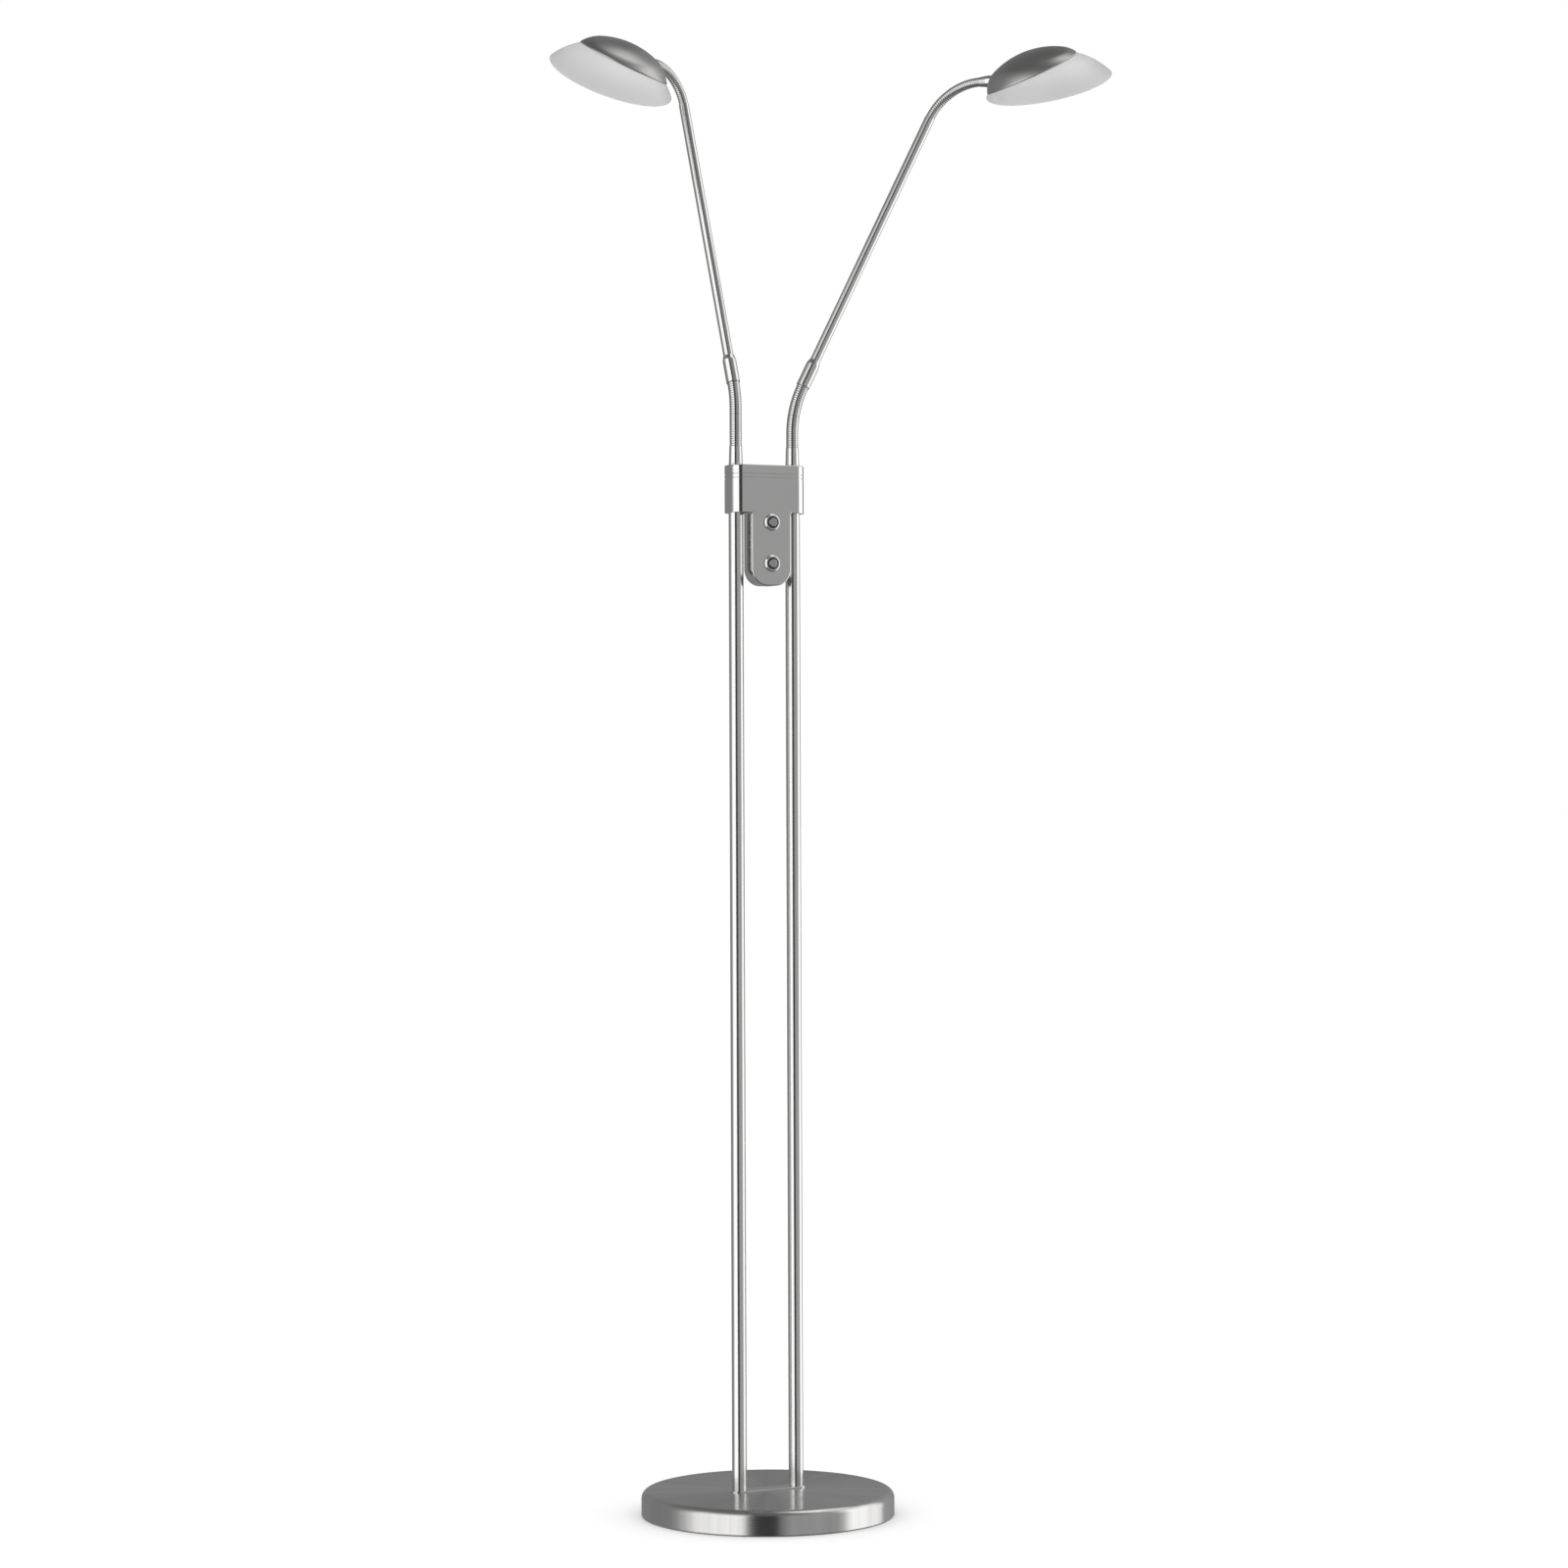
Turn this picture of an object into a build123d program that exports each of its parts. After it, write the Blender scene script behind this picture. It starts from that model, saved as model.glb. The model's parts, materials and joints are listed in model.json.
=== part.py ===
"""Two-arm LED reading floor lamp, in millimetres.

The origin lies on the floor under the middle of the round base, and +Z is up. The two poles stand
on the X axis, and the control box with its two buttons faces -Y. Each arm is a chain: ferrule,
lower gooseneck, sleeve, straight tube, upper gooseneck, neck ferrule and head. Each gooseneck is
two halves, one for each direction in which it is bent, and each half is one node.
"""
import os
from math import acos, atan, cos, degrees, pi, radians, sin, sqrt, tan

from build123d import *

# ---- base ---------------------------------------------------------------------------------------
BASE_DIAMETER = 258.0
BASE_HEIGHT = 25.5  # floor to the top of the cover
BASE_EDGE_RADIUS = 8.0
COVER_WALL = 1.5
COVER_LIFT = 1.0  # the cover's lower edge stays this far off the floor
PAD_INSET = 5.0  # of the pad's edge from the cover's side
PAD_THICKNESS = 2.5
WEIGHT_SIDE_GAP = 1.0
WEIGHT_TOP_GAP = 0.3
CORD_CHANNEL_WIDTH = 9.0
CORD_CHANNEL_HEIGHT = 7.0
GLAND_DIAMETER = 12.0
GLAND_BORE = 7.0
GLAND_LENGTH = 9.0
GLAND_HEIGHT = 11.0  # centre of the gland above the floor

# ---- poles --------------------------------------------------------------------------------------
POLE_SPACING = 64.0
POLE_DIAMETER = 15.0
POLE_WALL = 1.0
FOOT_PLATE_LENGTH = 83.5
FOOT_PLATE_WIDTH = 18.5
FOOT_PLATE_THICKNESS = 1.5
STUD_DIAMETER = 10.0
STUD_BORE = 5.5
STUD_HOLE_GAP = 0.2
PLUG_LENGTH = 20.0
NUT_ACROSS_FLATS = 16.0
NUT_HEIGHT = 5.5
WASHER_DIAMETER = 20.0
WASHER_THICKNESS = 1.5
NUT_RECESS_DIAMETER = 24.0
NUT_RECESS_DEPTH = 9.5

# ---- collar and control box ---------------------------------------------------------------------
COLLAR_TOP = 1069.5
COLLAR_HEIGHT = 48.7
COLLAR_LENGTH = 82.0
COLLAR_WIDTH = 35.0
COLLAR_CORNER_RADIUS = 12.5
COLLAR_EDGE_RADIUS = 1.2
GROOVE_DROPS = (9.4, 13.4)  # below the collar's top
GROOVE_WIDTH = 0.9
GROOVE_DEPTH = 0.6
POLE_SOCKET_DEPTH = 30.0
POLE_SOCKET_GAP = 0.05
BOX_WIDTH = 43.5
BOX_DROP = 74.0  # below the collar
BOX_DEPTH = 20.0  # its rear cover included
BOX_CORNER_RADIUS = 17.0
BOX_WALL = 2.4
BOX_COVER_THICKNESS = 1.5
CAVITY_RISE = 22.0  # how far the box's hollow reaches up into the collar
CHIMNEY_DIAMETER = 8.4  # wire way from a pole socket to the arm's ferrule
CROSS_HOLE_DIAMETER = 6.0
CROSS_HOLE_RISE = 1.5  # above the top of a pole socket
WIRE_SLOT_WIDTH = 4.0
COVER_BOSS_DIAMETER = 7.0
COVER_BOSS_X = 16.2
COVER_BOSS_DROP = 31.0  # below the collar
SCREW_DIAMETER = 3.0
SCREW_HEAD_DIAMETER = 5.6
SCREW_HEAD_HEIGHT = 1.8
COVER_SCREW_LENGTH = 9.0
GRUB_DIAMETER = 5.0
GRUB_HEIGHT = 15.0  # above the collar's lower edge

# ---- buttons ------------------------------------------------------------------------------------
BUTTON_DROPS = (9.8, 51.6)  # below the collar, upper and lower
BUTTON_NAMES = ("upper", "lower")
BUTTON_DIAMETER = 8.8
BUTTON_GAP = 0.1
BUTTON_PROUD = 0.9  # in front of its barrel
BUTTON_LENGTH = 7.5
BUTTON_TRAVEL = 1.5
BARREL_DIAMETER = 12.0
BARREL_PROUD = 3.0  # in front of the box
BEZEL_DIAMETER = 17.0
BEZEL_THICKNESS = 2.6
BEZEL_CHAMFER = 1.0
SWITCH_WIDTH = 14.0
SWITCH_DEPTH = 8.0
BOARD_WIDTH = 24.0
BOARD_THICKNESS = 1.6
BOARD_MARGIN = 6.0  # from the box's upper and lower ends
BOARD_GAP = 0.2

# ---- arms ---------------------------------------------------------------------------------------
FERRULE_LENGTH = 19.5
FERRULE_FOOT_DIAMETER = 14.8
FERRULE_TOP_DIAMETER = 13.0
FERRULE_THREAD_LENGTH = 8.0
LOWER_FLEX_DIAMETER = 12.4
LOWER_FLEX_LENGTH = 65.0
UPPER_FLEX_DIAMETER = 9.6
UPPER_FLEX_LENGTH = 69.0
FLEX_WALL = 2.2  # wall of a gooseneck, ribs included
FLEX_PITCH = 1.8
FLEX_RIB_HEIGHT = 0.55
SPIGOT_LENGTH = 4.0  # of a ferrule, inside a gooseneck's bore
SPIGOT_WALL = 1.0
FIT_GAP = 0.1
SPIGOT_GAP = 0.25
SLEEVE_LENGTH = 25.0
SLEEVE_DIAMETER = 14.0
SLEEVE_CONE = 5.0
TUBE_DIAMETER = 10.5
TUBE_WALL = 1.0
TUBE_LENGTH = 287.7  # outside the sleeve
TUBE_IN_SLEEVE = 20.0
TIP_LENGTH = 12.0

# ---- heads --------------------------------------------------------------------------------------
NECK_LENGTH = 13.0
NECK_DIAMETER = 12.0
NECK_THREAD_DIAMETER = 7.6
NECK_THREAD_LENGTH = 2.2  # inside the cap's wall and boss
NECK_TRIM = 5.0  # length of the neck that is cut to the cap's rounded shoulder
NECK_BOSS_DIAMETER = 11.0
NECK_HEIGHT = 10.0  # of the neck above the dish's rim
DISH_RADIUS = 66.2
DISH_HEIGHT = 34.8
GLASS_THICKNESS = 3.0
RIM_ROUND = 1.2
DOME_X = -4.4
DOME_TOP = 39.1  # above the rim
DOME_RADIUS = 85.4
CAP_WALL = 1.2
CAP_SIDE_RADIUS = 48.6
CAP_SIDE_X = -17.2
CAP_SHOULDER = 7.0
CAP_GLASS_GAP = 0.3
BRIDGE_RADIUS = 13.0
BRIDGE_THICKNESS = 1.8
BRIDGE_GAP = 0.4
CLAMP_SCREW_Y = 8.0
CLAMP_HOLE_DIAMETER = 4.4
WIRE_HOLE_DIAMETER = 7.0
TRAY_RADIUS = 38.2
TRAY_THICKNESS = 2.5
TRAY_BOTTOM = 16.2  # above the rim
TRAY_BOSS_RADIUS = 12.0
LED_BOARD_RADIUS = 36.0
LED_BOARD_THICKNESS = 1.6
LED_COUNT = 18
LED_RING_RADIUS = 26.0
LED_SIZE = 3.0
LED_THICKNESS = 0.6
DIFFUSER_WALL = 1.6
DIFFUSER_GAP = 0.2
DIFFUSER_BOTTOM = 11.5  # above the rim
DIFFUSER_LIP = 2.8  # above the tray's bottom

# ---- how each arm stands: the length of its lower gooseneck that is left straight, then in degrees
# ---- the side and fore lean of the tube and the head's aim
ARM_POSES = {
    "left": {
        "side": -1, "straight": 38.0, "lean_x": -1.0, "lean_y": 19.7, "heading": -144.1, "pitch": -13.5, "roll": -29.4,
    },
    "right": {
        "side": 1, "straight": 13.5, "lean_x": 26.9, "lean_y": -1.9, "heading": -57.7, "pitch": -1.5, "roll": 25.3,
    },
}

PAD_DIAMETER = BASE_DIAMETER - 2 * PAD_INSET
CLAMP_X = DOME_X
POLE_X = POLE_SPACING / 2
COLLAR_BOTTOM = COLLAR_TOP - COLLAR_HEIGHT
BOX_FRONT = -COLLAR_WIDTH / 2
BOX_REAR = BOX_FRONT + BOX_DEPTH
BOX_BODY_REAR = BOX_REAR - BOX_COVER_THICKNESS
BOX_BOTTOM = COLLAR_BOTTOM - BOX_DROP
FOOT_PLATE_TOP = BASE_HEIGHT + FOOT_PLATE_THICKNESS
POLE_BORE = POLE_DIAMETER - 2 * POLE_WALL
WEIGHT_TOP = BASE_HEIGHT - COVER_WALL - WEIGHT_TOP_GAP
GLASS_RADIUS = (DISH_RADIUS**2 + DISH_HEIGHT**2) / (2 * DISH_HEIGHT)
GLASS_CENTRE_Z = DISH_HEIGHT - GLASS_RADIUS
UP = Vector(0, 0, 1)


def turned(points):
    """A solid turned about Z from an outline given as (radius, height) pairs."""
    outline = Polyline([(r, 0, z) for r, z in points], close=True)
    return revolve(make_face(outline), Axis.Z)


def rod(diameter, start, length):
    """A cylinder that stands on a height, on the Z axis."""
    return Pos(0, 0, start) * Cylinder(diameter / 2, length, align=(Align.CENTER, Align.CENTER, Align.MIN))


def pipe(outer, bore, start, length):
    """A tube that stands on a height, on the Z axis."""
    return rod(outer, start, length) - rod(bore, start, length)


def cone_rod(low_diameter, high_diameter, start, length):
    """A tapered rod that stands on a height, on the Z axis."""
    upright = (Align.CENTER, Align.CENTER, Align.MIN)
    return Pos(0, 0, start) * Cone(low_diameter / 2, high_diameter / 2, length, align=upright)


def obround(length, width, start, height):
    """An upright block whose plan is a slot along X."""
    return extrude(Pos(0, 0, start) * SlotOverall(length, width), height)


def slab(x, y, z):
    """A block between three pairs of low and high coordinates."""
    block = Box(x[1] - x[0], y[1] - y[0], z[1] - z[0])
    return Pos((x[0] + x[1]) / 2, (y[0] + y[1]) / 2, (z[0] + z[1]) / 2) * block


def along_y(solid, x, y, z):
    """Lays a solid made along Z so that it runs along +Y from the given point."""
    return Plane((x, y, z), x_dir=(1, 0, 0), z_dir=(0, 1, 0)).location * solid


def at_poles(solid):
    """Copies of a solid on both poles' axes."""
    return [Pos(side * POLE_X, 0, 0) * solid for side in (-1, 1)]


def save(name, *solids):
    """Writes one node, which may be a group of like solids."""
    shape = solids[0] if len(solids) == 1 else Compound(children=list(solids))
    export_step(shape, f"parts/{name}.step")


class Bend:
    """A gooseneck's centre line: one arc that turns from one direction to another."""

    def __init__(self, start, direction, end_direction, length):
        self.start = start
        self.direction = direction
        self.length = length
        self.angle = acos(direction.dot(end_direction))
        self.radius = length / self.angle
        self.inward = (end_direction - direction * cos(self.angle)).normalized()
        self.normal = direction.cross(self.inward)

    def point(self, distance):
        """The point this far along, on the straight continuation outside the arc."""
        inside = min(max(distance, 0), self.length)
        turn = inside / self.radius
        on_arc = self.start + (self.direction * sin(turn) + self.inward * (1 - cos(turn))) * self.radius
        return on_arc + self.tangent(distance) * (distance - inside)

    def tangent(self, distance):
        """The direction of the centre line this far along."""
        turn = min(max(distance, 0), self.length) / self.radius
        return self.direction * cos(turn) + self.inward * sin(turn)

    def plane(self, distance):
        """The plane square to the centre line, with a steady X axis."""
        return Plane(self.point(distance), x_dir=self.normal, z_dir=self.tangent(distance))

    def end(self):
        """The point where the arc ends."""
        return self.point(self.length)


def ring_loft(bend, stations):
    """A ruled loft through circles, given as (distance along the bend, radius) pairs."""
    sections = [bend.plane(distance) * Circle(radius) for distance, radius in stations]
    return loft(sections, ruled=True)


def ribbed_hose(bend, begin, end, diameter):
    """Half of a gooseneck: a hose with raised ribs and a bore along a stretch of its bend."""
    crest = diameter / 2
    valley = crest - FLEX_RIB_HEIGHT
    ribs = round((end - begin) / FLEX_PITCH)
    pitch = (end - begin) / ribs
    rib_form = ((0.0, valley), (0.25, crest), (0.65, crest), (0.9, valley))
    stations = [(begin + (rib + share) * pitch, radius) for rib in range(ribs) for share, radius in rib_form]
    stations.append((end, valley))
    bore_radius = crest - FLEX_WALL
    bore_stations = [(begin + rib * pitch, bore_radius) for rib in range(-1, ribs + 2)]
    hose = ring_loft(bend, stations) - ring_loft(bend, bore_stations)
    print(f"ribbed hose: {ribs} ribs, bend radius {bend.radius:.1f}, volume {hose.volume:.0f}")
    return hose


def make_base():
    """The weighted base: brushed cover, iron weight, floor pad and cord gland."""
    outer = rod(BASE_DIAMETER, COVER_LIFT, BASE_HEIGHT - COVER_LIFT)
    outer = fillet(outer.edges().group_by(Axis.Z)[-1], BASE_EDGE_RADIUS)
    inner_height = BASE_HEIGHT - COVER_WALL
    inner = rod(BASE_DIAMETER - 2 * COVER_WALL, 0, inner_height)
    inner = fillet(inner.edges().group_by(Axis.Z)[-1], BASE_EDGE_RADIUS - COVER_WALL)
    cover = outer - inner
    weight = rod(BASE_DIAMETER - 2 * (COVER_WALL + WEIGHT_SIDE_GAP), PAD_THICKNESS, WEIGHT_TOP - PAD_THICKNESS)
    weight = fillet(weight.edges().group_by(Axis.Z)[-1], BASE_EDGE_RADIUS)
    stud_hole = rod(STUD_DIAMETER + 2 * STUD_HOLE_GAP, 0, FOOT_PLATE_TOP)
    recess = rod(NUT_RECESS_DIAMETER, 0, PAD_THICKNESS + NUT_RECESS_DEPTH)
    channel_half = CORD_CHANNEL_WIDTH / 2
    channel = slab((-channel_half, channel_half), (0, BASE_DIAMETER / 2), (0, PAD_THICKNESS + CORD_CHANNEL_HEIGHT))
    cross_channel = slab((-POLE_X, POLE_X), (-channel_half, channel_half), (0, PAD_THICKNESS + CORD_CHANNEL_HEIGHT))
    gland_start = BASE_DIAMETER / 2 - GLAND_LENGTH + COVER_WALL
    gland_hole = along_y(rod(GLAND_DIAMETER, 0, GLAND_LENGTH + COVER_WALL), 0, gland_start, GLAND_HEIGHT)
    for hole in at_poles(stud_hole):
        cover -= hole
        weight -= hole
    for pocket in at_poles(recess):
        weight -= pocket
    weight -= channel
    weight -= cross_channel
    weight -= gland_hole
    cover -= gland_hole
    gland_flange = rod(GLAND_DIAMETER + 3, GLAND_LENGTH, COVER_WALL)
    gland = rod(GLAND_DIAMETER - 2 * FIT_GAP, 0, GLAND_LENGTH) + gland_flange - rod(GLAND_BORE, 0, GLAND_LENGTH * 2)
    save("base_cover", cover)
    save("base_weight", weight)
    save("base_pad", rod(PAD_DIAMETER, 0, PAD_THICKNESS))
    save("cord_gland", along_y(gland, 0, gland_start, GLAND_HEIGHT))


def make_poles():
    """The two poles, their foot plate and what screws them to the base."""
    plate = obround(FOOT_PLATE_LENGTH, FOOT_PLATE_WIDTH, BASE_HEIGHT, FOOT_PLATE_THICKNESS)
    for hole in at_poles(rod(STUD_DIAMETER + 2 * STUD_HOLE_GAP, BASE_HEIGHT, FOOT_PLATE_THICKNESS)):
        plate -= hole
    pole_top = COLLAR_BOTTOM + POLE_SOCKET_DEPTH - FIT_GAP
    pole = pipe(POLE_DIAMETER, POLE_BORE, FOOT_PLATE_TOP, pole_top - FOOT_PLATE_TOP)
    plug = rod(POLE_BORE - 2 * POLE_SOCKET_GAP, FOOT_PLATE_TOP, PLUG_LENGTH)
    seat = PAD_THICKNESS + NUT_RECESS_DEPTH
    stud_foot = seat - WASHER_THICKNESS - NUT_HEIGHT - 1
    stud = rod(STUD_DIAMETER, stud_foot, FOOT_PLATE_TOP - stud_foot) + plug
    stud -= rod(STUD_BORE, 0, FOOT_PLATE_TOP + PLUG_LENGTH)
    washer = pipe(WASHER_DIAMETER, STUD_DIAMETER + 2 * STUD_HOLE_GAP, seat - WASHER_THICKNESS, WASHER_THICKNESS)
    nut_plan = RegularPolygon(NUT_ACROSS_FLATS / 2, 6, major_radius=False)
    nut = extrude(Pos(0, 0, seat - WASHER_THICKNESS - NUT_HEIGHT) * nut_plan, NUT_HEIGHT)
    nut -= rod(STUD_DIAMETER + 2 * POLE_SOCKET_GAP, 0, seat)
    save("foot_plate", plate)
    save("left_pole", Pos(-POLE_X, 0, 0) * pole)
    save("right_pole", Pos(POLE_X, 0, 0) * pole)
    save("pole_studs", *at_poles(stud))
    save("pole_washers", *at_poles(washer))
    save("pole_nuts", *at_poles(nut))


def box_outline(width, bottom, top, corner_radius, front, depth):
    """An upright block with its two lower corners rounded, between two depths."""
    half = width / 2
    outline = Polyline([(-half, 0, bottom), (half, 0, bottom), (half, 0, top), (-half, 0, top)], close=True)
    block = Pos(0, front, 0) * extrude(make_face(outline), depth, dir=(0, 1, 0))
    return fillet(block.edges().filter_by(Axis.Y).group_by(Axis.Z)[0], corner_radius)


def collar_slice(grow, start, height):
    """A slice of the collar's plan, grown all round by a distance, from a height upwards."""
    plan = RectangleRounded(COLLAR_LENGTH + 2 * grow, COLLAR_WIDTH + 2 * grow, COLLAR_CORNER_RADIUS + grow)
    return extrude(Pos(0, 0, start) * plan, height)


def make_collar():
    """The die-cast collar with its control box, closed at the rear by a cover."""
    collar = collar_slice(0, COLLAR_BOTTOM, COLLAR_HEIGHT)
    collar = fillet(collar.edges().group_by(Axis.Z)[-1], COLLAR_EDGE_RADIUS)
    for drop in GROOVE_DROPS:
        low = COLLAR_TOP - drop - GROOVE_WIDTH / 2
        collar -= collar_slice(1, low, GROOVE_WIDTH) - collar_slice(-GROOVE_DEPTH, low, GROOVE_WIDTH)
    body_depth = BOX_BODY_REAR - BOX_FRONT
    overlap = 5.0
    collar += box_outline(BOX_WIDTH, BOX_BOTTOM, COLLAR_BOTTOM + overlap, BOX_CORNER_RADIUS, BOX_FRONT, body_depth)
    cavity_width = BOX_WIDTH - 2 * BOX_WALL
    cavity_radius = BOX_CORNER_RADIUS - BOX_WALL
    cavity_front = BOX_FRONT + BOX_WALL
    cavity_depth = BOX_BODY_REAR - cavity_front
    cavity_top = COLLAR_BOTTOM + CAVITY_RISE
    cavity = box_outline(cavity_width, BOX_BOTTOM + BOX_WALL, cavity_top, cavity_radius, cavity_front, cavity_depth)
    collar -= cavity
    socket = rod(POLE_DIAMETER + 2 * POLE_SOCKET_GAP, COLLAR_BOTTOM, POLE_SOCKET_DEPTH)
    chimney = rod(CHIMNEY_DIAMETER, COLLAR_BOTTOM, COLLAR_HEIGHT)
    for hole in at_poles(socket) + at_poles(chimney):
        collar -= hole
    cross_z = COLLAR_BOTTOM + POLE_SOCKET_DEPTH + CROSS_HOLE_DIAMETER / 2 + CROSS_HOLE_RISE
    cross_hole = Plane((-POLE_X, 0, cross_z), x_dir=(0, 1, 0), z_dir=(1, 0, 0)).location
    collar -= cross_hole * rod(CROSS_HOLE_DIAMETER, 0, POLE_SPACING)
    slot_half = WIRE_SLOT_WIDTH / 2
    collar -= slab((-CROSS_HOLE_DIAMETER, CROSS_HOLE_DIAMETER), (-slot_half, slot_half), (cavity_top - 1, cross_z))
    boss_z = COLLAR_BOTTOM - COVER_BOSS_DROP
    grub_z = COLLAR_BOTTOM + GRUB_HEIGHT
    screws = []
    grubs = []
    for side in (-1, 1):
        boss_length = BOX_BODY_REAR - BOX_FRONT - BOX_WALL / 2
        collar += along_y(rod(COVER_BOSS_DIAMETER, 0, boss_length), side * COVER_BOSS_X, BOX_FRONT + BOX_WALL / 2, boss_z)
        screw_start = BOX_REAR - COVER_SCREW_LENGTH
        thread = rod(SCREW_DIAMETER, 0, COVER_SCREW_LENGTH)
        head = rod(SCREW_HEAD_DIAMETER, COVER_SCREW_LENGTH, SCREW_HEAD_HEIGHT)
        head -= slab((-SCREW_HEAD_DIAMETER, SCREW_HEAD_DIAMETER), (-0.4, 0.4), (COVER_SCREW_LENGTH + 0.8, 20))
        screws.append(along_y(thread + head, side * COVER_BOSS_X, screw_start, boss_z))
        bore = rod(SCREW_DIAMETER + FIT_GAP, -0.5, COVER_SCREW_LENGTH + 0.5)
        collar -= along_y(bore, side * COVER_BOSS_X, screw_start, boss_z)
        grub_start = POLE_DIAMETER / 2 + POLE_SOCKET_GAP
        grub_length = COLLAR_WIDTH / 2 - grub_start - 1
        collar -= along_y(rod(GRUB_DIAMETER + FIT_GAP, 0, COLLAR_WIDTH), side * POLE_X, 0, grub_z)
        hex_key = extrude(RegularPolygon(1.25, 6, major_radius=False), 3)
        grub = rod(GRUB_DIAMETER, 0, grub_length) - Pos(0, 0, grub_length - 3) * hex_key
        grubs.append(along_y(grub, side * POLE_X, grub_start, grub_z))
    for drop in BUTTON_DROPS:
        hole = rod(BARREL_DIAMETER + FIT_GAP, -1, BOX_WALL + 2)
        collar -= along_y(hole, 0, BOX_FRONT, COLLAR_BOTTOM - drop)
    cover = box_outline(BOX_WIDTH, BOX_BOTTOM, COLLAR_BOTTOM - FIT_GAP, BOX_CORNER_RADIUS, BOX_BODY_REAR, BOX_COVER_THICKNESS)
    for side in (-1, 1):
        hole = rod(SCREW_DIAMETER + 2 * FIT_GAP, -1, BOX_COVER_THICKNESS + 2)
        cover -= along_y(hole, side * COVER_BOSS_X, BOX_BODY_REAR, boss_z)
    save("collar_housing", collar)
    save("box_cover", cover)
    save("cover_screws", *screws)
    save("collar_grub_screws", *grubs)


def make_controls():
    """The two push switches with their bezels and buttons, and the dimmer board behind them."""
    switch_front = BOX_FRONT + BOX_WALL
    for name, drop in zip(BUTTON_NAMES, BUTTON_DROPS):
        z = COLLAR_BOTTOM - drop
        barrel_length = BARREL_PROUD + BOX_WALL
        well = BUTTON_DIAMETER + 2 * BUTTON_GAP
        half = SWITCH_WIDTH / 2
        case = slab((-half, half), (-half, half), (barrel_length, barrel_length + SWITCH_DEPTH))
        well_depth = BUTTON_LENGTH + BUTTON_TRAVEL - BUTTON_PROUD + FIT_GAP
        switch = rod(BARREL_DIAMETER, 0, barrel_length) + case - rod(well, 0, well_depth)
        front = BOX_FRONT - BARREL_PROUD
        bezel = rod(BEZEL_DIAMETER, 0, BEZEL_THICKNESS)
        bezel = chamfer(bezel.edges().group_by(Axis.Z)[0], BEZEL_CHAMFER)
        bezel -= rod(BARREL_DIAMETER + 2 * POLE_SOCKET_GAP, 0, BEZEL_THICKNESS)
        button = rod(BUTTON_DIAMETER, 0, BUTTON_LENGTH)
        button = fillet(button.edges().group_by(Axis.Z)[0], 0.6)
        save(f"{name}_switch", along_y(switch, 0, front, z))
        save(f"{name}_bezel", along_y(bezel, 0, BOX_FRONT - BEZEL_THICKNESS, z))
        save(f"{name}_button", along_y(button, 0, front - BUTTON_PROUD, z))
    board_front = switch_front + SWITCH_DEPTH + BOARD_GAP
    half = BOARD_WIDTH / 2
    low = BOX_BOTTOM + BOARD_MARGIN
    high = COLLAR_BOTTOM - BOARD_MARGIN + CAVITY_RISE / 2
    board = slab((-half, half), (board_front, board_front + BOARD_THICKNESS), (low, high))
    middle = (low + high) / 2
    pieces = [
        slab((-8, 8), (board_front - 6.5, board_front), (middle - 8, middle + 5)),
        slab((-10, -4), (board_front - 5, board_front), (high - 7, high - 1)),
        slab((3, 10), (board_front - 4, board_front), (high - 7, high - 1)),
    ]
    save("dimmer_board", board)
    save("board_components", *pieces)


def head_dome(wall):
    """The head's outer form, or the same form drawn in by a wall: a dome on an upright round side."""
    dome = Pos(DOME_X, 0, DOME_TOP - DOME_RADIUS) * Sphere(DOME_RADIUS - wall)
    side = Pos(CAP_SIDE_X, 0, 0) * rod(2 * (CAP_SIDE_RADIUS - wall), -DOME_RADIUS / 4, 2 * DOME_RADIUS)
    form = dome & side
    shoulder = [edge for edge in form.edges() if edge.geom_type == GeomType.BSPLINE]
    return fillet(shoulder, CAP_SHOULDER - wall)


def ball(radius):
    """A ball about the centre of the dish's curvature."""
    return Pos(0, 0, GLASS_CENTRE_Z) * Sphere(radius)


def dish_shell():
    """The satin glass dish: a shallow bowl that opens downwards, with a rounded rim."""
    inner_radius = GLASS_RADIUS - GLASS_THICKNESS
    rim_inner = sqrt(inner_radius**2 - GLASS_CENTRE_Z**2)
    half_way = radians(90) - atan(DISH_RADIUS / -GLASS_CENTRE_Z) / 2

    def on_arc(radius, angle):
        return (radius * cos(angle), 0, GLASS_CENTRE_Z + radius * sin(angle))

    outer = ThreePointArc((DISH_RADIUS, 0, 0), on_arc(GLASS_RADIUS, half_way), (0, 0, DISH_HEIGHT))
    top = Line((0, 0, DISH_HEIGHT), (0, 0, DISH_HEIGHT - GLASS_THICKNESS))
    inner = ThreePointArc((0, 0, DISH_HEIGHT - GLASS_THICKNESS), on_arc(inner_radius, half_way), (rim_inner, 0, 0))
    rim = Line((rim_inner, 0, 0), (DISH_RADIUS, 0, 0))
    dish = revolve(make_face([outer, top, inner, rim]), Axis.Z)
    return fillet(dish.edges().group_by(Axis.Z)[0], RIM_ROUND)


def clamp_holes(diameter):
    """Two upright pins on the clamp screws' axes, as tools for holes."""
    return [Pos(CLAMP_X, side * CLAMP_SCREW_Y, 0) * rod(diameter, 0, 2 * DISH_HEIGHT) for side in (-1, 1)]


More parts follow.
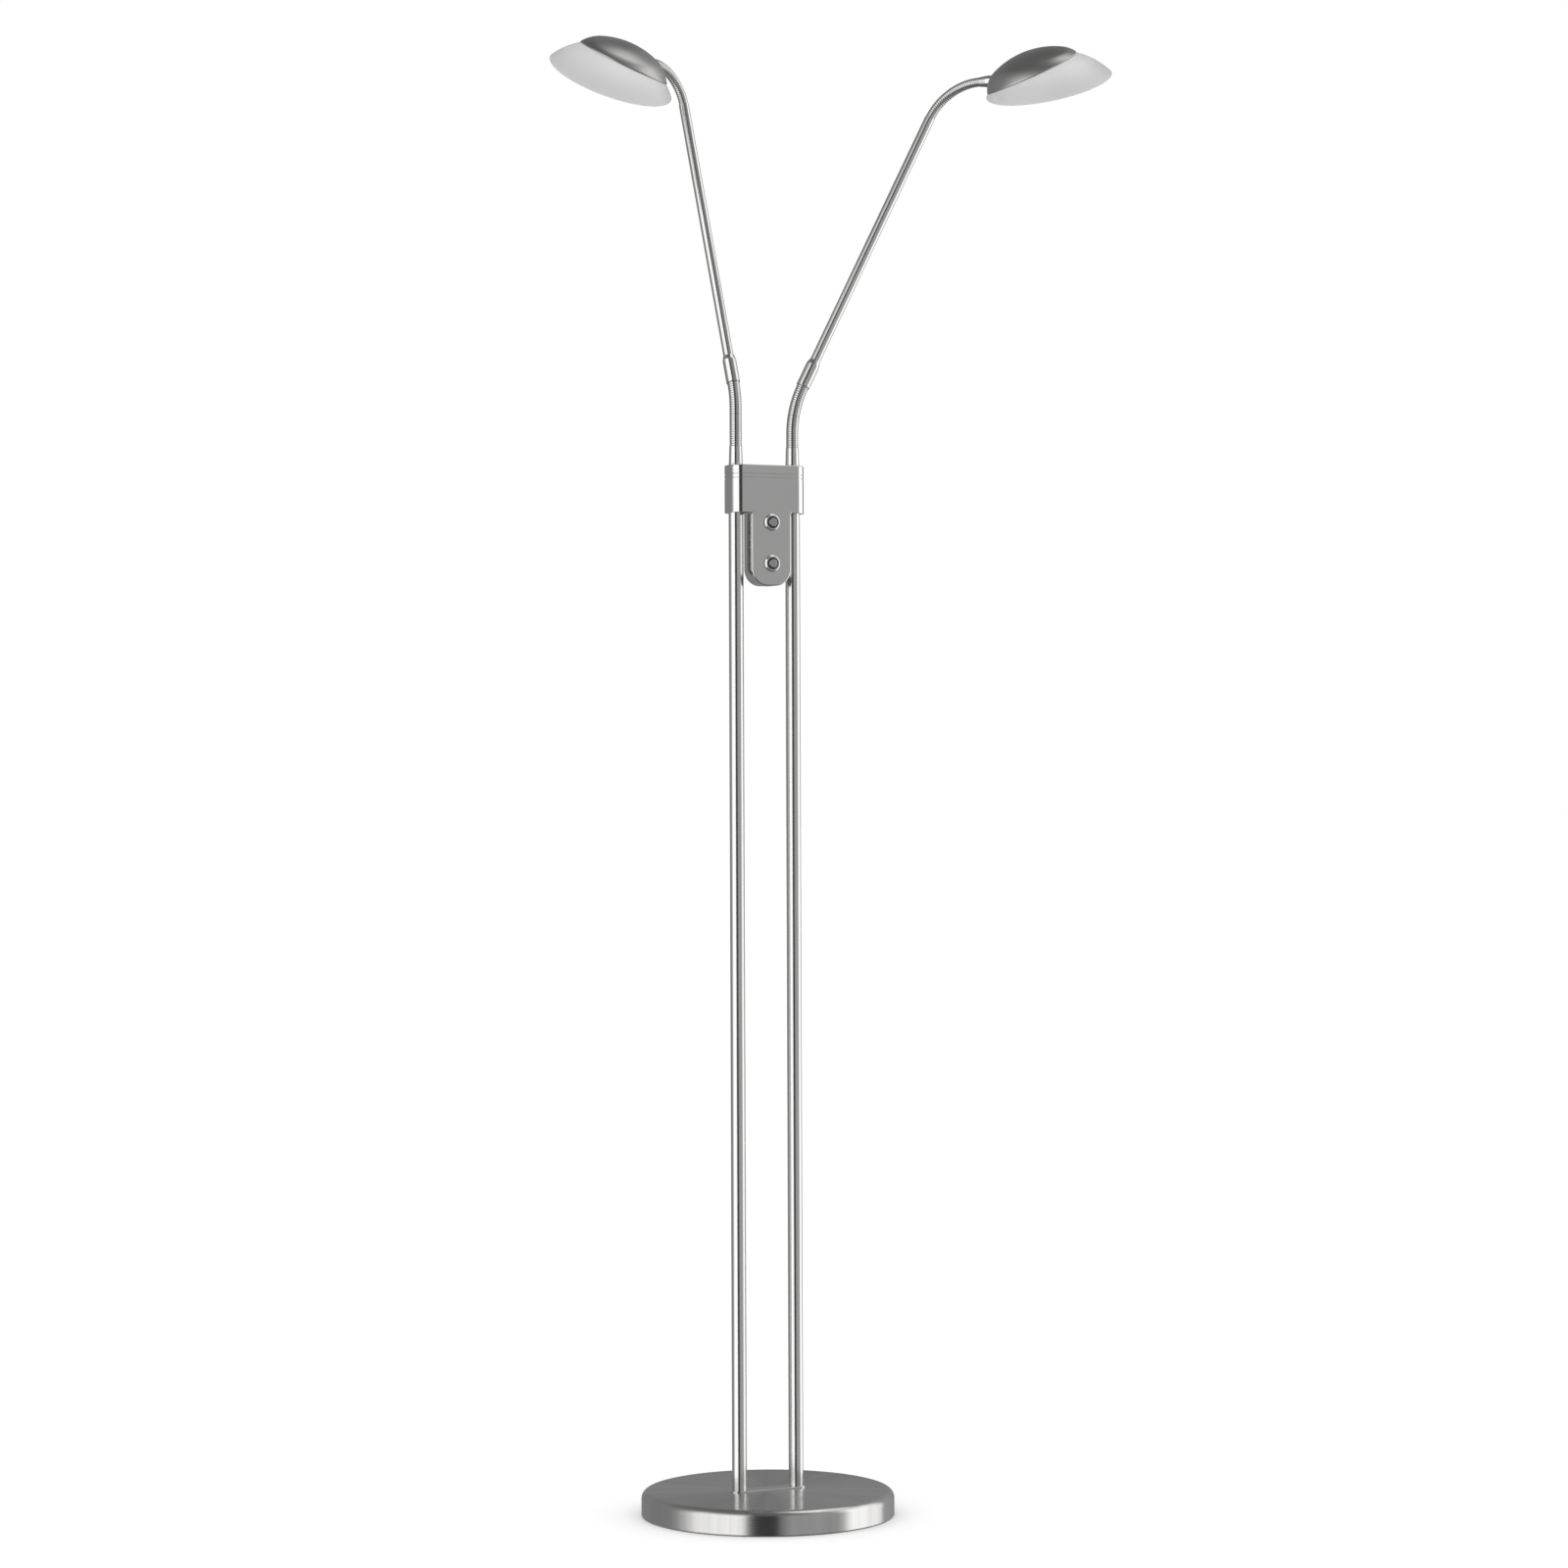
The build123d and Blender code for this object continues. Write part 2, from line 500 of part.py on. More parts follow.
def head_pieces():
    """Every piece of a head, in its own frame: origin in the rim's middle, +X forward, +Z up."""
    neck_x = CAP_SIDE_X - CAP_SIDE_RADIUS
    neck_way = Plane((0, 0, NECK_HEIGHT), x_dir=(0, 1, 0), z_dir=(1, 0, 0)).location
    glass_outside = ball(GLASS_RADIUS + CAP_GLASS_GAP)
    glass_inside = ball(GLASS_RADIUS - GLASS_THICKNESS - CAP_GLASS_GAP)
    thread_end = CAP_WALL + NECK_THREAD_LENGTH
    neck_bore = neck_way * rod(NECK_THREAD_DIAMETER + 2 * FIT_GAP, neck_x - 1, thread_end + 2)
    boss = neck_way * rod(NECK_BOSS_DIAMETER, neck_x + CAP_WALL / 2, thread_end - CAP_WALL / 2)
    shell = head_dome(0) - head_dome(CAP_WALL)
    cap = shell + (boss & head_dome(CAP_WALL / 2)) - glass_outside - neck_bore

    wire_hole = Pos(CLAMP_X, 0, 0) * rod(WIRE_HOLE_DIAMETER, 0, 2 * DISH_HEIGHT)
    dish = dish_shell() - wire_hole
    tray = rod(2 * TRAY_RADIUS, TRAY_BOTTOM, TRAY_THICKNESS)
    tray += (Pos(CLAMP_X, 0, 0) * rod(2 * TRAY_BOSS_RADIUS, TRAY_BOTTOM, DISH_HEIGHT)) & glass_inside
    tray -= wire_hole
    bridge_base = Pos(CLAMP_X, 0, 0) * rod(2 * BRIDGE_RADIUS, DISH_HEIGHT + BRIDGE_GAP, 2 * BRIDGE_THICKNESS)
    bridge = (bridge_base & head_dome(CAP_WALL + FIT_GAP)) - wire_hole
    for hole in clamp_holes(CLAMP_HOLE_DIAMETER):
        dish -= hole
        tray -= hole
    for hole in clamp_holes(SCREW_DIAMETER + FIT_GAP):
        bridge -= hole
    screw_top = DISH_HEIGHT + BRIDGE_GAP + BRIDGE_THICKNESS
    head_recess = TRAY_BOTTOM - LED_BOARD_THICKNESS
    screws = []
    board = rod(2 * LED_BOARD_RADIUS, head_recess, LED_BOARD_THICKNESS) - wire_hole
    for side in (-1, 1):
        seat = Pos(CLAMP_X, side * CLAMP_SCREW_Y, 0)
        head_bottom = TRAY_BOTTOM - SCREW_HEAD_HEIGHT
        screw = rod(SCREW_HEAD_DIAMETER, head_bottom, SCREW_HEAD_HEIGHT)
        screw += rod(SCREW_DIAMETER, TRAY_BOTTOM, screw_top - TRAY_BOTTOM)
        screws.append(seat * screw)
        board -= seat * rod(SCREW_HEAD_DIAMETER + 2 * FIT_GAP, 0, TRAY_BOTTOM)
    chip = Pos(LED_RING_RADIUS, 0, head_recess - LED_THICKNESS / 2) * Box(LED_SIZE, LED_SIZE, LED_THICKNESS)
    chips = [Rot(0, 0, 360 * index / LED_COUNT) * chip for index in range(LED_COUNT)]
    cup_radius = TRAY_RADIUS + DIFFUSER_GAP
    cup_top = TRAY_BOTTOM + DIFFUSER_LIP
    cup = rod(2 * (cup_radius + DIFFUSER_WALL), DIFFUSER_BOTTOM, cup_top - DIFFUSER_BOTTOM)
    cup = fillet(cup.edges().group_by(Axis.Z)[0], DIFFUSER_WALL)
    cup -= rod(2 * cup_radius, DIFFUSER_BOTTOM + DIFFUSER_WALL, cup_top)

    neck = cone_rod(UPPER_FLEX_DIAMETER + FIT_GAP, NECK_DIAMETER, neck_x - NECK_LENGTH, NECK_LENGTH)
    neck += rod(NECK_DIAMETER, neck_x, NECK_TRIM)
    neck = neck_way * neck - head_dome(-CAP_GLASS_GAP)
    neck += neck_way * rod(NECK_THREAD_DIAMETER, neck_x - NECK_LENGTH / 2, NECK_LENGTH / 2 + thread_end)
    spigot_diameter = UPPER_FLEX_DIAMETER - 2 * FLEX_WALL - 2 * SPIGOT_GAP
    neck += neck_way * rod(spigot_diameter, neck_x - NECK_LENGTH - SPIGOT_LENGTH, SPIGOT_LENGTH + 1)
    neck -= neck_way * rod(spigot_diameter - 2 * SPIGOT_WALL, neck_x - 2 * NECK_LENGTH, 3 * NECK_LENGTH)
    return neck_x, {
        "neck_ferrule": [neck],
        "head_cap": [cap],
        "cap_bridge": [bridge],
        "glass_dish": [dish],
        "led_tray": [tray],
        "led_board": [board],
        "led_chips": chips,
        "diffuser": [cup],
        "clamp_screws": screws,
    }


def hollow_turning(points, bore):
    """A turned piece with a round bore all the way through."""
    low = min(z for _, z in points)
    high = max(z for _, z in points)
    return turned(points) - rod(bore, low - 1, high - low + 2)


def make_arm(name, pose, neck_x, head):
    """One arm from the collar to its head, in the stance of its pose."""
    lower_bore = LOWER_FLEX_DIAMETER - 2 * FLEX_WALL
    upper_bore = UPPER_FLEX_DIAMETER - 2 * FLEX_WALL
    lower_spigot = lower_bore / 2 - SPIGOT_GAP
    upper_spigot = upper_bore / 2 - SPIGOT_GAP
    root = Vector(pose["side"] * POLE_X, 0, COLLAR_TOP)
    tube_way = Vector(tan(radians(pose["lean_x"])), tan(radians(pose["lean_y"])), 1).normalized()

    ferrule_outline = [
        (0, -FERRULE_THREAD_LENGTH),
        (CHIMNEY_DIAMETER / 2 - FIT_GAP, -FERRULE_THREAD_LENGTH),
        (CHIMNEY_DIAMETER / 2 - FIT_GAP, 0),
        (FERRULE_FOOT_DIAMETER / 2, 0),
        (FERRULE_TOP_DIAMETER / 2, FERRULE_LENGTH),
        (lower_spigot, FERRULE_LENGTH),
        (lower_spigot, FERRULE_LENGTH + SPIGOT_LENGTH),
        (0, FERRULE_LENGTH + SPIGOT_LENGTH),
    ]
    wire_way = 2 * (lower_spigot - SPIGOT_WALL)
    save(f"{name}_lower_ferrule", Pos(root) * hollow_turning(ferrule_outline, wire_way))

    straight = pose["straight"]
    lower = Bend(root + UP * (FERRULE_LENGTH + straight), UP, tube_way, LOWER_FLEX_LENGTH - straight)
    half = LOWER_FLEX_LENGTH / 2
    save(f"{name}_lower_flex_a", ribbed_hose(lower, -straight, half - straight, LOWER_FLEX_DIAMETER))
    save(f"{name}_lower_flex_b", ribbed_hose(lower, half - straight, lower.length, LOWER_FLEX_DIAMETER))

    socket_foot = SLEEVE_LENGTH + SLEEVE_CONE - TUBE_IN_SLEEVE
    sleeve_outline = [
        (0, -SPIGOT_LENGTH),
        (lower_spigot, -SPIGOT_LENGTH),
        (lower_spigot, 0),
        (SLEEVE_DIAMETER / 2, 0),
        (SLEEVE_DIAMETER / 2, SLEEVE_LENGTH),
        (TUBE_DIAMETER / 2 + 0.4, SLEEVE_LENGTH + SLEEVE_CONE),
        (0, SLEEVE_LENGTH + SLEEVE_CONE),
    ]
    tube_bore = TUBE_DIAMETER - 2 * TUBE_WALL
    sleeve_place = lower.plane(lower.length).location
    sleeve = hollow_turning(sleeve_outline, wire_way)
    sleeve -= rod(TUBE_DIAMETER + 2 * POLE_SOCKET_GAP, socket_foot, TUBE_IN_SLEEVE)
    tube = pipe(TUBE_DIAMETER, tube_bore, socket_foot, TUBE_IN_SLEEVE + TUBE_LENGTH)
    tube_end = SLEEVE_LENGTH + SLEEVE_CONE + TUBE_LENGTH
    tip = rod(tube_bore - 2 * POLE_SOCKET_GAP, tube_end - TIP_LENGTH, TIP_LENGTH)
    tip += rod(2 * upper_spigot, tube_end, SPIGOT_LENGTH)
    tip -= rod(2 * (upper_spigot - SPIGOT_WALL), tube_end - TIP_LENGTH, TIP_LENGTH + SPIGOT_LENGTH)
    save(f"{name}_arm_sleeve", sleeve_place * sleeve)
    save(f"{name}_arm_tube", sleeve_place * tube)
    save(f"{name}_arm_tip", sleeve_place * tip)

    heading = radians(pose["heading"])
    pitch = radians(pose["pitch"])
    roll = radians(pose["roll"])
    forward = Vector(cos(pitch) * cos(heading), cos(pitch) * sin(heading), sin(pitch))
    level_up = Vector(-sin(pitch) * cos(heading), -sin(pitch) * sin(heading), cos(pitch))
    head_up = level_up * cos(roll) + forward.cross(level_up) * sin(roll)
    upper_start = lower.end() + tube_way * tube_end
    upper = Bend(upper_start, tube_way, forward, UPPER_FLEX_LENGTH)
    half = UPPER_FLEX_LENGTH / 2
    save(f"{name}_upper_flex_a", ribbed_hose(upper, 0, half, UPPER_FLEX_DIAMETER))
    save(f"{name}_upper_flex_b", ribbed_hose(upper, half, UPPER_FLEX_LENGTH, UPPER_FLEX_DIAMETER))

    rim_middle = upper.end() + forward * (NECK_LENGTH - neck_x) - head_up * NECK_HEIGHT
    head_place = Plane(rim_middle, x_dir=forward, z_dir=head_up).location
    for piece, solids in head.items():
        save(f"{name}_{piece}", *[head_place * solid for solid in solids])

    tilt_pivot = lower.point(LOWER_FLEX_LENGTH / 4 - straight)
    swing_pivot = lower.point(LOWER_FLEX_LENGTH * 3 / 4 - straight)
    nod_pivot = upper.point(UPPER_FLEX_LENGTH / 4)
    turn_pivot = upper.point(UPPER_FLEX_LENGTH * 3 / 4)
    print(name, "lower bend", round(degrees(lower.angle), 1), "upper bend", round(degrees(upper.angle), 1))
    for label, value in (
        ("tilt pivot", tilt_pivot),
        ("swing pivot", swing_pivot),
        ("nod pivot", nod_pivot),
        ("nod axis", upper.normal),
        ("turn pivot", turn_pivot),
        ("head up", head_up),
        ("head forward", forward),
        ("rim middle", rim_middle),
    ):
        print(f"  {label}: {value.X:.4f} {value.Y:.4f} {value.Z:.4f}")


def main():
    """Builds every node of the lamp."""
    os.makedirs("parts", exist_ok=True)
    make_base()
    make_poles()
    make_collar()
    make_controls()
    neck_x, head = head_pieces()
    for name, pose in ARM_POSES.items():
        make_arm(name, pose, neck_x, head)


main()
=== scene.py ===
"""Dresses the two-arm reading floor lamp: smooth metal and glass skins, finishes, studio and camera.

Sizes are in millimetres until a mesh is made. Each piece is a grid of points: a closed ring of
points is repeated along a profile or a path, and neighbouring rings are joined by quads. The grid
also gives each piece its UV map, in millimetres around and along, which the brushed grain follows.
"""
from __future__ import annotations

import logging
from collections.abc import Sequence
from dataclasses import dataclass, field, replace
from enum import Enum

import bpy
import numpy as np
from mathutils import Matrix
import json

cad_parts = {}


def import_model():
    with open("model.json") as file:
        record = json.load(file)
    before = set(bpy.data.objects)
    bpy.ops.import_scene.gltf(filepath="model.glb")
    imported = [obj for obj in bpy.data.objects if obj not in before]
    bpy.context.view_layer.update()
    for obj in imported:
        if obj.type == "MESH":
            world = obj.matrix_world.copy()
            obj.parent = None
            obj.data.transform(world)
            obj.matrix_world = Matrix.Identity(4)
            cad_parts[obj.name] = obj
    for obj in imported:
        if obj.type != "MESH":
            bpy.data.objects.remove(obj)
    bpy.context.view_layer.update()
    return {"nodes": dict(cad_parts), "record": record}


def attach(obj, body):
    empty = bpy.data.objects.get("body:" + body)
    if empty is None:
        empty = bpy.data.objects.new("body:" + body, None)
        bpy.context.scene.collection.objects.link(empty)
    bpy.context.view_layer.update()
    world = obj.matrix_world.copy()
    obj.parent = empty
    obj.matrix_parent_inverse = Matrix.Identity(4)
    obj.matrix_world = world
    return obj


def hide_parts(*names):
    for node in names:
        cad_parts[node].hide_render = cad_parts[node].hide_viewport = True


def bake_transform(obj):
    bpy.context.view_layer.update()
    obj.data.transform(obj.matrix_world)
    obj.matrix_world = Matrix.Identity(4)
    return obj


log = logging.getLogger("lamp")

MM = 0.001
TAU = 2 * np.pi
UP = np.array([0.0, 0.0, 1.0])

# An outline's corners: two coordinates and a rounding radius each.
Corners = Sequence[tuple[float, float, float]]
# How near a turned outline comes to its axis, in millimetres, and the glass in radians.
AXIS_GAP = 0.02
CROWN_GAP = 0.0004
# How far apart two faces lie that would otherwise share a plane.
FLUSH_GAP = 0.02
# Where along one rib of a gooseneck its outline has points, as shares of the pitch.
RIB_STOPS = (0.0, 0.04, 0.12, 0.28, 0.5, 0.72, 0.88, 0.96)


class Ends(Enum):
    """How the first and the last ring of a grid are finished."""

    CAPPED = "capped"
    LOOPED = "looped"


class Grain(Enum):
    """Which way the fine lines of a metal run over a piece's own map."""

    AROUND = "around"
    ALONG = "along"
    EVEN = "even"


class Side(Enum):
    """The two arms, named as the lamp is seen from the front."""

    LEFT = "left"
    RIGHT = "right"

    @property
    def sign(self) -> int:
        """Which way along X this side lies."""
        return -1 if self is Side.LEFT else 1


# points in space


def unit(vector: np.ndarray) -> np.ndarray:
    """Returns the vector at length one."""
    return vector / np.linalg.norm(vector)


@dataclass(frozen=True)
class Place:
    """A frame that a piece is made in: an origin and the directions of its X and Z axes."""

    origin: np.ndarray
    x_axis: np.ndarray
    z_axis: np.ndarray

    def put(self, points: np.ndarray) -> np.ndarray:
        """Moves points to the lamp's frame: origin + x X axis + y (Z cross X) + z Z axis."""
        y_axis = np.cross(self.z_axis, self.x_axis)
        return self.origin + points @ np.stack([self.x_axis, y_axis, self.z_axis])

    def rise(self, height: float) -> Place:
        """Returns the same frame moved along its own Z axis."""
        return Place(self.origin + self.z_axis * height, self.x_axis, self.z_axis)


FLOOR = Place(np.zeros(3), np.array([1.0, 0.0, 0.0]), UP)


@dataclass(frozen=True)
class Bend:
    """A gooseneck's centre line: one arc between two directions."""

    start: np.ndarray
    direction: np.ndarray
    end_direction: np.ndarray
    length: float

    @property
    def angle(self) -> float:
        """The angle in radians between the two directions."""
        return float(np.arccos(self.direction @ self.end_direction))

    @property
    def inward(self) -> np.ndarray:
        """The direction from the start to the arc's centre."""
        return unit(self.end_direction - self.direction * np.cos(self.angle))

    @property
    def normal(self) -> np.ndarray:
        """The axis that the arc turns about."""
        return np.cross(self.direction, self.inward)

    def points(self, distance: np.ndarray) -> np.ndarray:
        """Points on the line: start + R sin(s/R) direction + R (1 - cos(s/R)) inward.

        Where s is less than nothing, the line runs straight back from the start.
        """
        radius = self.length / self.angle
        ahead = np.asarray(distance)[..., None]
        turn = np.maximum(ahead, 0) / radius
        arc = radius * (np.sin(turn) * self.direction + (1 - np.cos(turn)) * self.inward)
        return self.start + arc + np.minimum(ahead, 0) * self.direction

    def tangents(self, distance: np.ndarray) -> np.ndarray:
        """Directions along the arc: cos(s/R) direction + sin(s/R) inward."""
        turn = np.maximum(np.asarray(distance)[..., None], 0) * self.angle / self.length
        return np.cos(turn) * self.direction + np.sin(turn) * self.inward

    def place(self, distance: float) -> Place:
        """The frame square to the arc this far along."""
        return Place(self.points(np.array(distance)), self.normal, self.tangents(np.array(distance)))


# outlines and grids


# How far outside an arc its guarding points lie: this many millimetres, or this share of its radius.
GUARD_REACH = 0.12
GUARD_SHARE = 0.3


def rounded(corners: Corners, looped: bool = True, steps: int = 4) -> np.ndarray:
    """Rounds the corners of a flat outline.

    A corner of radius r becomes an arc that touches both edges: with the half angle a between the
    edges, it starts r / tan(a) before the corner, and its points turn evenly about its centre. A
    point just outside each end of the arc keeps the flat beside it flat under smooth shading.

    Args:
        corners: Two coordinates and a radius for each corner.
        looped: Whether the last corner joins the first.
        steps: Segments in an arc of a right angle.

    Returns:
        The outline's points, two coordinates each.
    """
    spots = np.array([corner[:2] for corner in corners], float)
    count = len(spots)
    line: list[np.ndarray] = []
    for index, (_, _, radius) in enumerate(corners):
        spot = spots[index]
        at_end = not looped and index in (0, count - 1)
        if radius <= 0 or at_end:
            line.append(spot[None])
            continue
        back = unit(spots[index - 1] - spot)
        ahead = unit(spots[(index + 1) % count] - spot)
        half = np.arccos(np.clip(back @ ahead, -1, 1)) / 2
        reach = radius / np.tan(half)
        centre = spot + unit(back + ahead) * radius / np.sin(half)
        first = spot + back * reach - centre
        last = spot + ahead * reach - centre
        turn = np.arccos(np.clip(first @ last / radius**2, -1, 1))
        share = np.linspace(0, 1, max(2, int(np.ceil(steps * turn / (np.pi / 2)))) + 1)[:, None]
        arc = (np.sin((1 - share) * turn) * first + np.sin(share * turn) * last) / np.sin(turn)
        guard = min(GUARD_REACH, GUARD_SHARE * radius)
        line += [(centre + first + back * guard)[None], centre + arc, (centre + last + ahead * guard)[None]]
    return np.concatenate(line)


def turned(outline: np.ndarray, around: int) -> np.ndarray:
    """Turns an outline about Z: x = r cos(t), y = r sin(t), z = height.

    Args:
        outline: Radius and height of each point.
        around: Points in each ring.

    Returns:
        A grid of points: outline, ring, coordinate.
    """
    angle = np.arange(around) * TAU / around
    circle = np.stack([np.cos(angle), np.sin(angle)], -1)
    flat = outline[:, None, :1] * circle[None]
    height = np.broadcast_to(outline[:, None, 1:], (len(outline), around, 1))
    return np.concatenate([flat, height], -1)


def swept(bend: Bend, distance: np.ndarray, radius: np.ndarray, around: int) -> np.ndarray:
    """Carries circles along a bend: centre(s) + r cos(t) normal + r sin(t) (tangent cross normal)."""
    angle = np.arange(around) * TAU / around
    side = np.cross(bend.tangents(distance), bend.normal)
    ring = np.cos(angle)[None, :, None] * bend.normal + np.sin(angle)[None, :, None] * side[:, None]
    return bend.points(distance)[:, None] + radius[:, None, None] * ring


def make_mesh(name: str, grid: np.ndarray, ends: Ends, hub_shift: float = 0.0) -> bpy.types.Object:
    """Makes one closed piece from a grid of rings.

    Args:
        name: The piece's name.
        grid: Points in millimetres in the lamp's frame: row, around, coordinate.
        ends: CAPPED closes each end ring with a fan to its middle, LOOPED joins the last row to
            the first.
        hub_shift: How far above the middle of an end ring its fan meets.

    Returns:
        The new object, smooth, facing outwards, with a UV map in millimetres.
    """
    rows, around = grid.shape[:2]
    row = np.arange(rows if ends is Ends.LOOPED else rows - 1)
    column = np.arange(around)
    here, there = row[:, None], (row[:, None] + 1) % rows
    right = (column + 1) % around
    quads = np.stack(
        [here * around + column, here * around + right, there * around + right, there * around + column], -1
    ).reshape(-1, 4)
    step_along = np.linalg.norm(np.diff(grid, axis=0, append=grid[:1]), axis=-1).mean(1)
    along = np.concatenate([[0], np.cumsum(step_along)])
    girth = np.linalg.norm(np.roll(grid, -1, 1) - grid, axis=-1).sum(1).max() / around
    corner_u = np.stack([column, column + 1, column + 1, column], -1) * girth
    u = np.broadcast_to(corner_u, (len(row), around, 4))
    v = np.stack([along[row], along[row], along[row + 1], along[row + 1]], -1)
    v = np.broadcast_to(v[:, None], (len(row), around, 4))
    maps = [np.stack([u, v], -1).reshape(-1, 2)]
    points = [grid.reshape(-1, 3)]
    faces = quads.tolist()
    if ends is Ends.CAPPED:
        for end in (0, rows - 1):
            hub = np.full(around, rows * around + (end > 0))
            points.append(grid[end].mean(0)[None] + UP * hub_shift)
            rim, beyond = end * around + column, end * around + right
            pair = (rim, beyond) if end else (beyond, rim)
            faces += np.stack([*pair, hub], -1).tolist()
            spread = np.stack([column, column + 1, column + 0.5], -1) * girth
            maps.append(np.stack([spread, np.full_like(spread, along[end])], -1).reshape(-1, 2))
    cloud = np.concatenate(points)
    a, b, c, d = (grid.reshape(-1, 3)[quads[:, index]] for index in range(4))
    middle = cloud.mean(0)
    volume = (np.cross(b - a, d - a) * (a - middle)).sum() + (np.cross(d - c, b - c) * (c - middle)).sum()
    mesh = bpy.data.meshes.new(name)
    mesh.from_pydata((cloud * MM).tolist(), [], faces)
    layer = mesh.uv_layers.new(name="grain")
    layer.uv.foreach_set("vector", np.concatenate(maps).astype(np.float32).ravel())
    if volume < 0:
        mesh.flip_normals()
    mesh.shade_smooth()
    piece = bpy.data.objects.new(name, mesh)
    bpy.context.scene.collection.objects.link(piece)
    return piece


# finishes


class Signal:
    """A shader node's value output that takes part in arithmetic."""

    def __init__(self, bench: Bench, socket: bpy.types.NodeSocket) -> None:
        """Wraps one output socket."""
        self.bench = bench
        self.socket = socket

    def math(self, operation: str, *others: Signal | float) -> Signal:
        """Adds a Math node that applies an operation to this value and the others."""
        values = dict(enumerate([self, *others]))
        return self.bench.node("ShaderNodeMath", {"operation": operation}, values)

    def __add__(self, other: Signal | float) -> Signal:
        """Adds."""
        return self.math("ADD", other)

    __radd__ = __add__

    def __sub__(self, other: Signal | float) -> Signal:
        """Subtracts."""
        return self.math("SUBTRACT", other)

    def __rsub__(self, other: float) -> Signal:
        """Subtracts from a number."""
        return (self * -1.0) + other

    def __mul__(self, other: Signal | float) -> Signal:
        """Multiplies."""
        return self.math("MULTIPLY", other)

    def step(self, low: float, high: float) -> Signal:
        """Rises smoothly from 0 at low to 1 at high."""
        settings = {"interpolation_type": "SMOOTHSTEP"}
        return self.bench.node("ShaderNodeMapRange", settings, {0: self, 1: low, 2: high, 3: 0.0, 4: 1.0})


class Bench:
    """A node tree that finishes are put together on."""

    def __init__(self, tree: bpy.types.NodeTree) -> None:
        """Clears the tree."""
        self.tree = tree
        tree.nodes.clear()

    def node(self, kind: str, settings: dict, inputs: dict, output: str | int = 0) -> Signal:
        """Adds a node of any type.

        Args:
            kind: The node's type name.
            settings: Its own properties; the entry "stops" holds a ramp's positions and colours.
            inputs: Its sockets' links or values, by name or number.
            output: The output that is wanted.

        Returns:
            That output.
        """
        made = self.tree.nodes.new(kind)
        for key, value in settings.items():
            if key == "stops":
                self.set_stops(made.color_ramp, value)
            else:
                setattr(made, key, value)
        for key, value in inputs.items():
            if isinstance(value, Signal):
                self.tree.links.new(value.socket, made.inputs[key])
            else:
                made.inputs[key].default_value = value
        return Signal(self, made.outputs[output])

    @staticmethod
    def set_stops(ramp: bpy.types.ColorRamp, stops: Sequence[tuple[float, Sequence[float]]]) -> None:
        """Gives a ramp its stops, each a position and a colour."""
        while len(ramp.elements) < len(stops):
            ramp.elements.new(1.0)
        for element, (position, colour) in zip(ramp.elements, stops):
            element.position = position
            element.color = (*colour, 1.0)

    def grey(self, value: Signal) -> Signal:
        """Makes a grey of a value."""
        return self.node("ShaderNodeCombineColor", {}, {0: value, 1: value, 2: value})

    def mix(self, share: Signal | float, first: object, second: object, blend: str = "MIX") -> Signal:
        """Mixes two colours, each an output or four numbers."""
        settings = {"data_type": "RGBA", "blend_type": blend}
        return self.node("ShaderNodeMix", settings, {0: share, 6: first, 7: second}, 2)

    def tone(self, colour: Sequence[float], brightness: Signal) -> Signal:
        """Multiplies a colour by a value through a Mix node."""
        return self.mix(1.0, (*colour, 1.0), self.grey(brightness), "MULTIPLY")

    def place(self) -> Signal:
        """Adds positions on the piece, in metres."""
        return self.node("ShaderNodeTexCoord", {}, {}, "Object")

    def own_map(self) -> Signal:
        """Adds the piece's own UV map, in millimetres."""
        return self.node("ShaderNodeUVMap", {"uv_map": "grain"}, {})

    def noise(self, where: Signal, scale: float, detail: float, roughness: float = 0.5) -> Signal:
        """Adds smooth noise from 0 to 1."""
        inputs = {"Vector": where, "Scale": scale, "Detail": detail, "Roughness": roughness}
        return self.node("ShaderNodeTexNoise", {"noise_dimensions": "3D"}, inputs)

    def stretched(self, where: Signal, scales: Sequence[float]) -> Signal:
        """Scales a position along each axis, for a pattern that is drawn out."""
        return self.node("ShaderNodeMapping", {}, {"Vector": where, "Scale": tuple(scales)})

    def dot(self, way: Signal, direction: np.ndarray) -> Signal:
        """Adds the dot product of a direction with a fixed one."""
        inputs = {0: way, 1: tuple(direction)}
        return self.node("ShaderNodeVectorMath", {"operation": "DOT_PRODUCT"}, inputs, "Value")

    def bearing(self, place: Signal) -> Signal:
        """Adds the level direction from the Z axis to a position, at length one."""
        level = self.node("ShaderNodeVectorMath", {"operation": "MULTIPLY"}, {0: place, 1: (1.0, 1.0, 0.0)})
        return self.node("ShaderNodeVectorMath", {"operation": "NORMALIZE"}, {0: level})

    def bump(self, strength: float, distance: float, height: Signal) -> Signal:
        """Adds a bump of a height, its distance in metres."""
        inputs = {"Strength": strength, "Distance": distance, "Height": height}
        return self.node("ShaderNodeBump", {}, inputs)

    def surface(self, inputs: dict) -> Signal:
        """Adds the surface shader."""
        return self.node("ShaderNodeBsdfPrincipled", {}, inputs)


